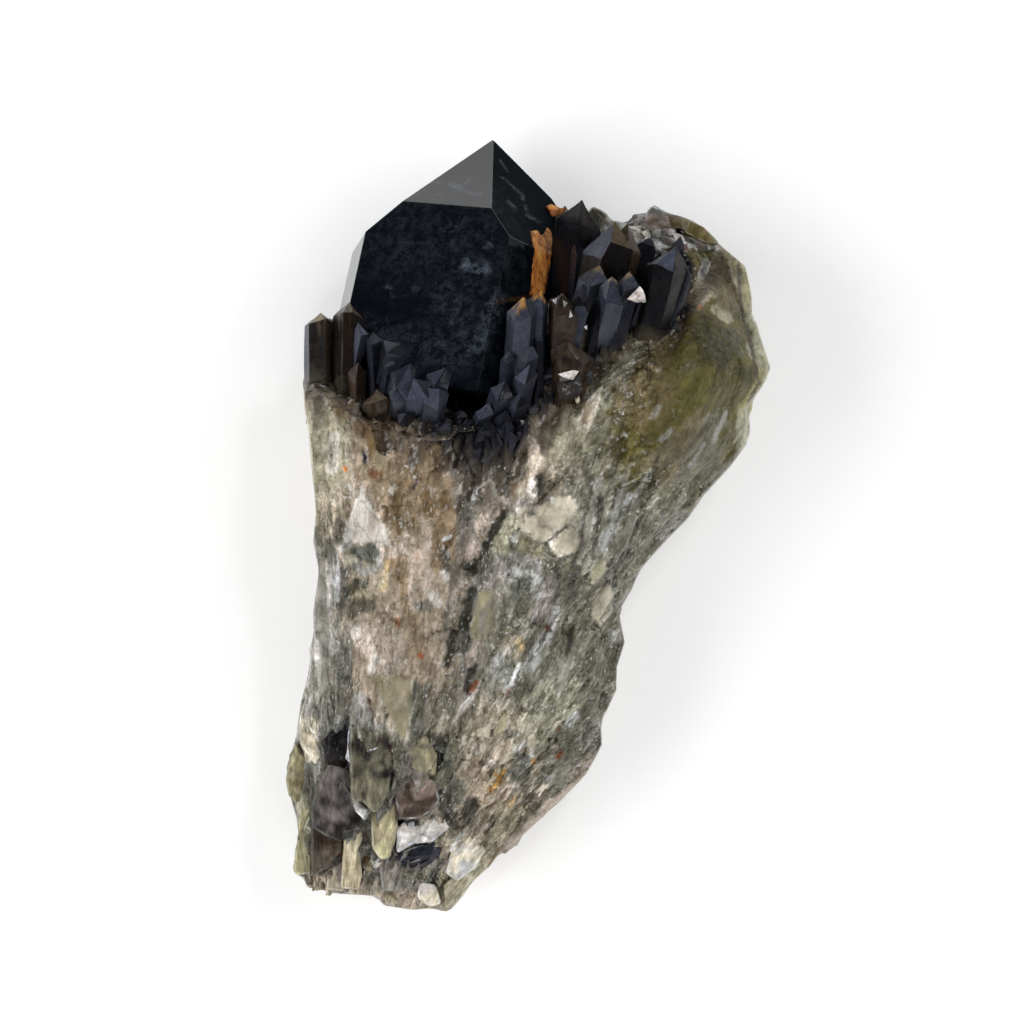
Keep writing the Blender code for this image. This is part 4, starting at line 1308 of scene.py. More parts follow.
# %% Strokes
STROKES = (
    # tone, half width in pixels, strength, then the path in pixels
    # the groove and pit strokes are painted shade; the white vein and silver strokes are partly painted
    # glints and sheen
    ("fibre grey", 17, 1.0, "321,560 325,640 316,710"),
    ("sand", 24, 1.0, "322,410 330,470 338,520"),
    ("beige", 52, 1.0, "398,470 398,560 404,640 398,680"),
    ("tan", 26, 0.8, "425,470 432,545"),
    ("tan", 20, 0.6, "385,455 392,500"),
    ("sand", 34, 0.9, "566,392 548,470"),
    ("pale olive", 24, 0.7, "600,395 575,440"),
    ("green grey", 52, 1.0, "648,440 604,520 574,600"),
    ("green grey", 60, 0.8, "560,620 545,700 560,760"),
    ("sand", 46, 0.8, "480,745 502,800 470,850"),
    ("green grey", 40, 0.7, "430,730 420,770"),
    ("smoke grey", 50, 0.6, "350,760 345,830"),
    ("olive", 60, 1.0, "716,280 724,370 700,410 670,440"),
    ("olive", 34, 1.0, "690,330 690,390"),
    ("moss brown", 20, 0.6, "735,390 725,420 700,450"),
    ("moss", 44, 0.8, "712,300 722,380 706,420"),
    ("moss brown", 26, 0.8, "640,400 668,360"),
    ("green grey", 26, 0.8, "700,440 670,480"),
    ("moss brown", 14, 0.7, "690,425 660,470"),
    # left side
    ("pale olive", 22, 0.6, "322,425 330,470"),
    ("chalk", 6, 0.6, "334,437 331,470"),
    ("chalk", 3, 0.8, "352,424 357,404"),
    ("bronze", 9, 0.8, "372,425 380,445"),
    ("dark rust", 3.5, 0.7, "384,418 386,436"),
    ("honey grey", 9, 0.6, "382,455 372,466"),
    ("dark rust", 4.0, 0.6, "372,474 377,476"),
    ("orange", 1.8, 1.0, "345,469 346,470"),
    ("pink beige", 5, 0.9, "362,492 365,508"),
    ("pink beige", 11, 0.95, "366,512 371,530 376,545"),
    ("pink beige", 7, 0.9, "374,548 392,552"),
    ("silver", 6, 0.7, "350,522 346,545"),
    ("smoke grey", 8, 0.95, "358,551 373,553"),
    ("silver", 5, 0.8, "350,562 364,571 379,563"),
    ("pale sand", 4, 0.8, "346,562 352,560"),
    ("olive grey", 9, 0.7, "355,590 368,600"),
    ("shaded groove", 7, 0.75, "341,574 340,602"),
    ("shaded groove", 5, 0.7, "348,590 364,584"),
    ("shaded groove", 7, 0.7, "354,607 370,606"),
    ("dark fibre", 5, 0.8, "339,522 336,540"),
    ("silver", 3, 0.8, "334,556 337,600"),
    ("silver", 2.5, 0.7, "326,600 329,650"),
    ("dark fibre", 3.5, 0.8, "330,542 332,562"),
    ("dark fibre", 3, 0.8, "322,606 325,655"),
    ("dark fibre", 4, 0.7, "317,530 318,556"),
    ("tan", 5, 0.9, "394,562 398,580"),
    ("honey", 2.6, 0.5, "389,560 384,590"),
    ("pale honey", 2, 0.9, "387,576 380,588"),
    ("pink beige", 7, 0.7, "408,540 411,606"),
    ("pink beige", 6, 0.7, "424,524 428,584"),
    ("tan", 4, 0.8, "402,556 405,612"),
    ("tan", 5, 0.7, "440,496 437,560"),
    ("bronze", 5, 0.7, "396,498 398,532"),
    ("navy", 2.4, 1.0, "365,454 366,461"),
    ("navy", 2.4, 1.0, "411,455 411,465"),
    ("navy", 1.5, 1.0, "417,478 414,488"),
    ("navy", 3.2, 1.0, "463,436 460,452"),
    ("navy", 1.8, 1.0, "460,452 455,469"),
    ("bronze", 6, 0.8, "428,498 431,510"),
    ("deep brown", 5, 0.8, "464,494 459,510"),
    ("deep brown", 4, 0.9, "474,484 471,500"),
    ("smoke brown", 8, 0.7, "482,484 490,496"),
    ("white vein", 1.8, 0.9, "477,486 474,500"),
    ("white vein", 2.0, 1.0, "444,539 449,537"),
    ("white vein", 2.0, 0.9, "446,552 448,554"),
    ("chalk", 2.6, 0.8, "391,491 394,487"),
    ("chalk", 3.4, 0.8, "443,572 447,578"),
    ("shaded groove", 5, 0.75, "443,555 446,566"),
    ("bronze", 4, 0.8, "447,543 443,546"),
    ("chalk", 4.6, 0.85, "431,597 436,603"),
    ("smoke grey", 5, 0.7, "421,606 426,610"),
    ("pink beige", 9, 0.9, "496,506 480,532 468,560"),
    ("beige", 6, 0.8, "463,585 453,632"),
    ("grey", 6, 0.7, "456,600 446,650"),
    ("chalk", 8, 0.7, "360,630 372,650"),
    ("pink beige", 14, 0.85, "372,640 395,655 386,670"),
    ("chalk", 5, 0.8, "376,660 372,668"),
    ("dark fibre", 10, 0.7, "338,660 346,700"),
    ("smoke grey", 9, 0.7, "420,690 418,730"),
    ("tan", 6, 0.6, "412,620 414,655"),
    ("rust", 2.4, 0.8, "419,655 422,657"),
    ("rust", 2.0, 0.7, "396,618 398,626"),
    ("silver", 8, 0.6, "360,700 368,722"),
    ("smoke grey", 7, 0.7, "346,640 344,680"),
    # the groove and the middle
    ("shaded groove", 5.5, 0.95, "502,516 486,546 476,570"),
    ("shaded groove", 4.5, 0.9, "466,566 472,572"),
    ("dark fibre", 6, 0.8, "488,552 482,580"),
    ("shaded groove", 6, 0.95, "472,592 465,628"),
    ("shaded pit", 7, 0.9, "452,636 446,664"),
    ("shaded groove", 5, 0.85, "466,640 461,652"),
    ("shaded groove", 3.6, 0.9, "473,662 468,690"),
    ("shaded pit", 6, 0.9, "540,480 541,494"),
    ("smoke brown", 7, 0.6, "548,478 550,490"),
    ("chalk", 4, 0.8, "534,482 533,494"),
    ("pale olive", 8, 0.8, "512,524 498,548"),
    ("olive grey", 7, 0.8, "522,541 536,547"),
    ("white vein", 2.6, 0.9, "553,500 559,502"),
    ("white vein", 1.8, 0.8, "512,536 514,541"),
    ("silver", 13, 0.6, "514,564 528,580"),
    ("smoke grey", 6, 0.7, "524,584 516,594"),
    ("white vein", 2.6, 0.8, "529,572 532,576"),
    ("white vein", 2.4, 0.8, "535,583 538,579"),
    ("grey lilac", 11, 0.8, "549,590 542,612"),
    ("pink beige", 5, 0.8, "479,645 472,661"),
    ("dark fibre", 6, 0.85, "592,480 584,530 570,604"),
    ("shaded groove", 3.4, 0.75, "600,500 596,546"),
    ("dark fibre", 5, 0.8, "612,568 613,584"),
    ("silver", 3.6, 0.6, "627,498 606,546"),
    ("silver", 2.4, 0.6, "652,470 632,500"),
    ("dark fibre", 6, 0.75, "640,520 616,562"),
    ("silver", 4, 0.75, "556,610 548,640"),
    ("silver", 3.6, 0.85, "546,630 527,668"),
    ("white vein", 2.2, 1.0, "520,664 515,676 510,687"),
    ("dark rust", 2.0, 0.6, "477,682 470,693"),
    ("dark rust", 1.8, 0.8, "511,688 507,694"),
    ("dark rust", 1.8, 1.0, "546,626 547,630"),
    ("sand", 9, 0.7, "508,638 520,652"),
    ("silver", 9, 0.6, "500,664 506,682"),
    ("chalk", 3.6, 0.7, "505,650 510,652"),
    ("honey", 3, 0.6, "520,640 522,648"),
    ("green grey", 10, 0.6, "619,640 612,690"),
    ("silver", 5, 0.7, "611,634 615,640"),
    ("shaded groove", 2.6, 0.8, "571,628 568,652"),
    ("dark fibre", 4, 0.6, "560,560 552,600"),
    ("dark fibre", 3, 0.7, "508,596 500,640"),
    ("dark fibre", 3, 0.6, "536,616 524,660"),
    # right side below
    ("pale olive", 22, 0.5, "562,700 540,722"),
    ("grey", 13, 0.7, "592,728 586,762"),
    ("dark rust", 2.2, 0.5, "478,680 472,688"),
    ("white vein", 2.0, 0.7, "472,696 462,708"),
    ("silver", 2.6, 0.8, "525,744 515,751"),
    ("white vein", 2.4, 0.9, "532,751 527,763"),
    ("silver", 3.0, 0.9, "570,724 578,715"),
    ("silver", 4.0, 0.7, "590,743 594,736"),
    ("chalk", 3.6, 0.9, "485,765 490,764"),
    ("chalk", 2.6, 0.8, "521,775 524,773"),
    ("chalk", 2.4, 0.8, "514,786 519,788"),
    ("chalk", 2.4, 0.8, "550,779 553,777"),
    ("smoke grey", 8, 0.85, "522,762 515,773"),
    ("smoke grey", 4, 0.7, "506,730 516,736"),
    ("dark fibre", 7, 0.7, "524,786 530,802"),
    ("dark fibre", 6, 0.7, "546,774 562,786"),
    ("shaded groove", 6, 0.85, "471,802 467,822"),
    ("shaded groove", 9, 0.8, "446,798 453,822"),
    ("smoke grey", 9, 0.7, "450,770 460,792"),
    ("smoke grey", 8, 0.7, "442,745 446,765"),
    ("shaded pit", 1.4, 0.8, "462,760 486,762"),
    ("shaded pit", 1.4, 0.7, "477,806 489,808"),
    ("beige", 14, 0.8, "478,776 490,790 500,802"),
    ("pale honey", 6, 0.7, "498,774 494,784"),
    ("ochre", 1.8, 0.95, "504,770 496,784 490,790"),
    ("ochre", 1.4, 0.8, "495,773 499,779"),
    ("deep brown", 1.4, 0.9, "486,832 498,818 508,806"),
    ("ochre", 1.4, 0.7, "506,808 515,799"),
    ("olive grey", 10, 0.7, "512,815 496,842 482,856"),
    ("pink beige", 7, 0.7, "592,764 562,800 532,830 502,852"),
    ("tan", 2.2, 0.8, "502,848 485,872"),
    ("pale sand", 9, 0.8, "468,848 478,864"),
    ("white vein", 1.8, 0.8, "464,832 452,850"),
    ("dark rust", 2.2, 1.0, "560,726 559,731"),
    ("dark rust", 2.0, 1.0, "561,753 559,757"),
    ("ochre", 1.6, 0.9, "532,760 534,762"),
    # the broken end
    ("silver", 6, 0.7, "342,724 345,748"),
    ("green grey", 12, 0.8, "364,740 360,780"),
    ("pale olive", 3.4, 0.8, "366,782 372,806 366,816"),
    ("deep brown", 7, 0.9, "382,745 386,770 380,790"),
    ("silver", 2.4, 0.9, "350,776 356,790 364,812"),
    ("grey lilac", 10, 0.8, "420,752 410,776"),
    ("sand", 12, 0.7, "312,884 370,890"),
    ("pink beige", 9, 0.7, "390,898 420,902"),
    ("olive grey", 10, 0.7, "440,890 470,866"),
    ("grey lilac", 10, 0.7, "340,858 366,866"),
    ("shaded groove", 6, 0.8, "436,740 440,762"),
    ("pale olive", 4, 0.7, "422,742 426,762"),
    ("shaded pit", 7, 0.9, "338,752 342,768"),
    ("pale sand", 9, 0.9, "306,726 308,750"),
    ("deep brown", 4, 0.9, "390,745 388,782"),
    ("pale olive", 6, 0.8, "304,800 304,866"),
    ("shaded pit", 3.0, 0.95, "397,824 416,823"),
    ("deep brown", 4, 0.8, "362,836 367,840"),
    ("rust", 2.0, 0.8, "338,855 342,853"),
    ("dark rust", 2.0, 0.6, "378,833 379,835"),
    ("rust", 1.6, 0.6, "358,883 361,885"),
    ("orange", 1.8, 0.8, "437,898 440,899"),
    ("deep brown", 5, 0.9, "314,872 326,868"),
    ("sand", 12, 0.9, "310,885 350,893"),
    ("beige", 10, 0.9, "390,898 440,906"),
    ("grey lilac", 7, 0.7, "332,872 340,888"),
    ("chalk", 5, 0.8, "424,886 430,900"),
    ("smoke grey", 5, 0.8, "438,862 430,884"),
    ("pale olive", 9, 0.9, "470,880 452,896"),
    ("honey grey", 8, 0.8, "448,905 456,900"),
    # upper right and the lobe
    ("pale olive", 12, 0.7, "632,338 622,362"),
    ("pale sand", 7, 0.6, "584,420 596,400"),
    ("chalk", 4, 0.6, "586,398 590,392"),
    ("bronze", 8, 0.6, "600,372 612,350"),
    ("moss brown", 9, 0.8, "656,350 638,384"),
    ("sand", 4, 0.85, "694,296 676,320 654,346"),
    ("sand", 7, 0.7, "704,284 698,300"),
    ("moss", 18, 0.8, "684,352 692,384"),
    ("dark olive", 19, 0.75, "706,330 722,348"),
    ("dark olive", 8, 0.7, "745,370 752,384"),
    ("deep brown", 8, 0.7, "718,256 727,278"),
    ("bronze", 5, 0.7, "731,262 734,290"),
    ("pale olive", 4.5, 0.7, "708,282 713,292"),
    ("pale olive", 5, 0.6, "716,306 729,319"),
    ("silver", 3.4, 0.8, "705,262 701,276"),
    ("orange", 1.4, 0.7, "698,306 699,307"),
    ("moss brown", 12, 0.7, "720,262 728,300"),
    ("honey green", 9, 0.95, "747,268 749,298 753,316"),
    ("pale olive", 9, 0.95, "755,322 762,350 769,368"),
    ("dull olive", 8, 0.9, "768,374 756,398 746,412"),
    ("olive grey", 7, 0.8, "722,244 736,258"),
    ("pale olive", 8, 0.9, "744,424 744,446"),
    ("deep brown", 1.6, 0.8, "738,264 741,300 743,316 750,342 756,366 760,382 748,402"),
    ("pale olive", 5, 0.7, "743,414 744,442"),
    ("silver", 3.0, 0.45, "725,414 720,426 715,440"),
    ("silver", 2.0, 0.5, "704,444 690,466"),
    ("silver", 2.6, 0.4, "669,430 661,440"),
    ("silver", 2.4, 0.4, "657,408 651,418"),
    ("dark olive", 8, 0.6, "622,428 615,452"),
    ("dark olive", 5, 0.7, "645,440 650,438"),
    ("grey lilac", 12, 0.9, "650,213 684,224"),
    ("bronze", 10, 0.8, "690,224 704,236"),
    ("white vein", 5, 0.8, "640,238 662,246"),
    ("silver", 7, 0.9, "650,236 684,246"),
    ("chalk", 3, 0.9, "628,228 634,232"),
    ("white vein", 2.4, 0.9, "696,224 706,232"),
    ("white vein", 2.4, 0.9, "708,240 716,250"),
    ("white vein", 2.0, 0.9, "672,240 694,244"),
    ("dark rust", 1.2, 0.8, "668,243 690,250"),
    ("olive grey", 5, 0.8, "722,248 732,256"),
)
print(len(STROKES), "strokes of", len(TONES), "tones")


# %% Brush the strokes on the root
def fan_noise(place, across_mm, along_mm, seed):
    """Noise that is stretched along the fibres."""
    across, along = fan_place(place)
    return noise.noise(Vector((across / across_mm, along / along_mm, place.z / across_mm + seed)))


BEHIND_BROWN = "565,320 566,385"
UPPER_RIM = spots("630,200 770,200 770,300 696,262 680,246 660,250 642,250 634,240")


def brush_on(obj):
    """Stores the strokes as the colour of each point of the root."""
    places = [vert.co / MM - SHIFT for vert in obj.data.vertices]
    pixels = np.array([pixel_of(place) for place in places])
    sway = np.array([(fan_noise(place, 2.4, 7.0, 3.3), fan_noise(place, 2.4, 7.0, 9.1)) for place in places])
    rough = np.array([fan_noise(place, 0.8, 2.4, 5.7) + 0.6 * noise.noise(place / 0.45) for place in places])
    colours = np.tile(albedo("grey"), (len(places), 1))
    for tone, width, strength, path in STROKES:
        path = spots(path)
        near = close_to(pixels, path, 1.8 * width + 14)
        bent = pixels[near] + sway[near] * min(width * 0.9, 11)
        away = how_near(bent, path) / width + 0.42 * rough[near]
        share = np.clip((1.22 - away) / 0.35, 0, 1)[:, None] * strength
        colours[near] = over(colours[near], tone, share)

    # towards the druse the root turns brown and then black, except behind the brown crystals and at the rim;
    # the brown and the black are the smoky quartz's own colour, and the black is also painted shade between
    # the crystals
    fingers = np.array([fan_noise(place, 1.3, 9.0, 12.5) for place in places])
    depth = np.array([edge_depth(px, py) for px, py in pixels + sway * 12]) + rough * 7 + fingers * 26
    reach = np.where(pixels[:, 0] > 600, 28, 44)
    brown = np.clip((depth + reach) / (reach + 2), 0, 1)[:, None] * 0.82
    # painted shade between the crystals, together with the dark quartz
    black = np.clip((depth - 2) / 26, 0, 1)[:, None]
    below_rim = -depth_inside(pixels, UPPER_RIM) / 4
    black *= (1 - near_share(pixels, BEHIND_BROWN, 26)[:, None]) * np.clip(below_rim, 0, 1)[:, None]
    brown *= np.clip(below_rim, 0.15, 1)[:, None]
    colours = over(over(colours, "deep brown", brown), "black glass", black)

    # each pressed piece gets its tone, a chalky rim that is partly a painted highlight, and a line of painted
    # shade beside it, which fade on steep sides
    mottle = np.array([fan_noise(place, 1.5, 3.5, 1.9) for place in places])
    level = np.clip(np.array([vert.normal.z for vert in obj.data.vertices]) * 2.5 - 0.6 + 1.2 * mottle, 0, 1)
    for name, (near, deep) in flat_depth.items():
        patchy, flat = mottle[near], level[near]
        strength = 0.65 if name.startswith("sunk") else 0.8
        share = np.clip(strength + 1.3 * patchy, 0.1, 1) * np.clip((deep + 0.4) / 0.9, 0, 1) * flat
        pale_rim_and_highlight = np.clip(1 - abs(deep - 0.6) / 1.3, 0, 1) * np.clip(2.2 * patchy, 0, 0.7) * flat
        # painted shade just outside the raised piece
        shade = np.clip(1 - abs(deep + 1.2) / 1.4, 0, 1) * np.clip(-2.4 * patchy, 0, 0.6) * flat
        colours[near] = over(over(colours[near], FLATS[name][0], share[:, None]), "chalk", pale_rim_and_highlight[:, None])
        colours[near] *= 1 - shade[:, None] * 0.6
    store_paint(obj.data, colours, "POINT")
    print(obj.name, "mean colour", colours.mean(0).round(3))


brush_on(root)

# %% Colours of the crystals, with painted reflections on their facets, cloudy at the foot and stained at some tips
STAINED = {
    # crystal: tone of its tip, and how far the stain reaches in mm
    "stained_a": ("ochre", 1.0), "stained_b": ("ochre", 0.9), "right_behind": ("bronze", 1.1),
    "right_front": ("tan", 0.7), "right_small": ("tan", 0.8), "left_edge": ("tan", 1.0),
    "left_second": ("tan grey", 1.0), "right_bright": ("bronze", 0.8),
}


SAME_FACET = 0.985


def tint_crystal(obj, body_tone, facets=(), tip=None, stain=None):
    """A tone for every facet, with painted reflections on some facets and on the body facets by their
    direction, fading into the root at the foot, with a stain round the tip.
    """
    mesh = obj.data
    places = [vert.co / MM - SHIFT for vert in mesh.vertices]
    depth = np.array([edge_depth(*pixel_of(place)) for place in places])
    hue = np.array([0.5 + 0.5 * noise.noise(place / 2.4) for place in places])
    cloudy = np.clip((6 - depth) / 36 + 0.3 * (hue - 0.5), 0, 1)
    brown = np.clip(hue - 0.42 + (16 - depth) / 70, 0, 1) * 0.6
    foot = 0.6 * np.array(albedo("smoke brown")) + 0.4 * np.array(albedo("sand"))
    stained = np.zeros(len(places))
    if stain:
        away = np.array([(place - tip).length for place in places]) / stain[1]
        ragged = np.array([noise.noise(place / 0.6 + SEED_OFFSET) for place in places])
        stained = np.clip(1.6 - (away + 2.2 * ragged), 0, 0.85)
    colours = np.ones((len(mesh.loops), 3))
    for face in mesh.polygons:
        tone = next((tone for normal, tone in facets if face.normal.dot(normal) > SAME_FACET), body_tone)
        # painted reflection: each body facet is made lighter or darker by the direction it faces
        shade = 0.75 + 0.6 * noise.cell(face.normal * 2.6 + SEED_OFFSET + places[face.vertices[0]] / 40.0)
        for loop, vert in zip(face.loop_indices, face.vertices):
            colour = np.array(albedo(tone)) * (0.8 + 0.4 * hue[vert]) * (shade if tone == body_tone else 1.0)
            if tone == "navy":
                colour = over(colour, "deep brown", brown[vert])
            colour = colour * (1 - cloudy[vert]) + foot * cloudy[vert]
            if stain:
                colour = over(colour, stain[0], stained[vert])
            colours[loop] = colour
    store_paint(mesh, colours, "CORNER")


LEFT_SIDE = 303.0
FOOT_ROWS, FOOT_SLOPE = 2.0, 0.22


def settle(vert):
    """Sinks a point below the druse's edge, where the root begins, and keeps it off the stone's left side."""
    px, py = pixel_of(vert.co / MM - SHIFT)
    vert.co.z -= max(-FOOT_ROWS - edge_depth(px, py), 0.0) * FOOT_SLOPE * MM
    vert.co.x += max(LEFT_SIDE - px, 0.0) * PIXEL * MM


for name, made in {**side_crystals, **brown_crystals}.items():
    tint_crystal(made, SET_CRYSTALS[name][0], facet_tones_and_reflections[name], crystal_tips[name], STAINED.get(name))
    # the faces of a natural crystal are never quite flat
    for vert in made.data.vertices:
        place = vert.co / MM - SHIFT
        settle(vert)
        vert.co += (noise.noise_vector(place / 1.8) * 0.16 + noise.noise_vector(place / 0.6) * 0.04) * MM
    made.data.update()
    pick(made)
    bpy.ops.object.shade_smooth_by_angle(angle=SMOOTH_ANGLE)
tint_crystal(druse, "navy")
for vert in druse.data.vertices:
    settle(vert)
    vert.co.z = max(vert.co.z, 0.0)
side_piece = joined("side_crystals", list(side_crystals.values()))
brown_piece = joined("brown_crystals", list(brown_crystals.values()))
print("side crystals", len(side_piece.data.polygons), "faces")

# %% [markdown]
# Crisp plates of quartz stand on the root and at its upper rim: two bright faces that are painted
# highlights, the crumpled silvery spot at the top, partly painted glints, small glint plates, which are
# painted glints too, and the pale rim of the glassy lobe. Each is an outline of corners on a tilted plane,
# extruded down into the root.

# %% Plates
PLATES = {
    # tone, height in mm or None for the surface, lift, tilt to the right and down in degrees, thickness
    # in mm, and corners in pixels
    # the crumpled silvery spot and the ridge: their chalk and silver plates are partly painted glints
    "crumple_a": ("chalk", None, 0.7, 24, 14, 1.2, "641,232 648,229 653,236 646,240"),
    "crumple_b": ("silver", None, 0.8, -18, -8, 1.2, "649,228 661,229 660,238 653,237"),
    "crumple_c": ("silver", None, 0.6, 10, 22, 1.2, "640,240 652,239 657,246 645,249"),
    "crumple_d": ("grey lilac", None, 0.6, -24, 6, 1.2, "660,236 671,238 674,245 662,246"),
    "crumple_e": ("chalk", None, 0.6, 20, -14, 1.0, "672,232 683,235 686,241 676,242"),
    "crumple_f": ("pale lilac", None, 0.5, -14, 12, 1.0, "664,228 676,230 672,236 663,234"),
    "crumple_g": ("pale sand", None, 0.5, 16, 8, 1.0, "634,234 641,231 640,240 634,243"),
    "crumple_h": ("grey lilac", None, 0.5, -8, 18, 1.0, "684,229 691,232 693,240 685,238"),
    "fleck_a": ("pale olive", None, 0.5, -12, 10, 0.8, "694,233 701,233 704,240 696,241"),
    "fleck_b": ("chalk", None, 0.5, 16, -6, 0.8, "707,243 713,245 714,252 708,250"),
    "fleck_c": ("silver", None, 0.5, -8, -12, 0.8, "686,243 695,245 698,250 688,249"),
    "ridge_face": ("silver", None, 0.7, -30, 0, 1.2, "704,258 711,262 707,274 699,276"),
    "ridge_top": ("bronze brown", None, 0.8, 12, -4, 1.4, "711,258 722,255 731,268 732,282 716,280 708,272"),
    # painted highlights: two pale lilac facets that stand for reflections of the lamps
    "highlight_side": (
        "pale lilac", 41.6, 0.0, -14, 16, 5.0,
        "627,299 640,286 643,290 645,295 646,302 641,301 637,302 632,300",
    ),
    "highlight_middle": ("pale lilac", 41.8, 0.0, -10, 18, 5.0, "558,374 573,370 579,371 573,380 565,378"),
    "brown_face": (
        "brown black", None, 0.5, -2, 20, 1.5,
        "556,381 566,382 573,381 580,372 582,388 578,398 559,400",
    ),
    "bright_foot": ("pale sand", None, 0.6, -14, 14, 0.8, "575,398 579,395 580,402 576,404"),
    "glint_a": ("lilac white", None, 0.4, -10, 10, 0.4, "552,300 557,298 556,305"),
    "glint_b": ("silver", None, 0.4, 20, 10, 0.4, "563,300 568,303 564,308"),
    "glint_c": ("silver", None, 0.4, -20, -10, 0.4, "570,310 573,316 569,318"),
    "glint_d": ("lilac white", None, 0.4, 10, 10, 0.4, "583,327 587,325 587,330"),
    "glint_e": ("lilac white", None, 0.4, 10, 10, 0.4, "587,338 590,341 586,343"),
}
bpy.context.view_layer.update()
evaluated = bpy.context.evaluated_depsgraph_get()
surfaces = [BVHTree.FromObject(obj, evaluated) for obj in (main_crystal, side_piece, brown_piece, root)]


def top_height(x, y):
    """The highest surface of the stone at this place, in millimetres."""
    hits = [tree.ray_cast((Vector((x, y, 90)) + SHIFT) * MM, Vector((0, 0, -1)))[0] for tree in surfaces]
    return max((hit.z / MM for hit in hits if hit is not None), default=0.0)


def plate(name, tone, height, lift, right, down, thick, corners, worn=0.07):
    """An outline of corners on a tilted plane, extruded straight down."""
    middle = np.mean(corners, axis=0)
    if height is None:
        spot = seen_at(*middle, 32.0)
        spot = seen_at(*middle, top_height(spot.x, spot.y))
        height = top_height(spot.x, spot.y)
    slopes = (np.array(corners) - middle) @ np.tan(np.radians((right, down))) * PIXEL
    ring = [seen_at(px, py, height + lift - slope) for (px, py), slope in zip(corners, slopes)]
    piece = ring_of(name, ring)
    edit_all()
    bpy.ops.mesh.extrude_region_move(TRANSFORM_OT_translate={"value": Vector((0, 0, -thick * MM))})
    close_up()
    apply_modifier(piece, "BEVEL", "worn edges", width=worn * MM, segments=1, limit_method="ANGLE")
    store_paint(piece.data, np.tile(albedo(tone), (len(piece.data.loops), 1)), "CORNER")
    return piece


plates = [plate(name, *look, spots(corners)) for name, (*look, corners) in PLATES.items()]
plate_piece = joined("plates", plates)
store(plate_piece, glassy=0.35, streaky=0.3, crisp=1.3)
print(len(PLATES), "plates,", len(plate_piece.data.polygons), "faces")
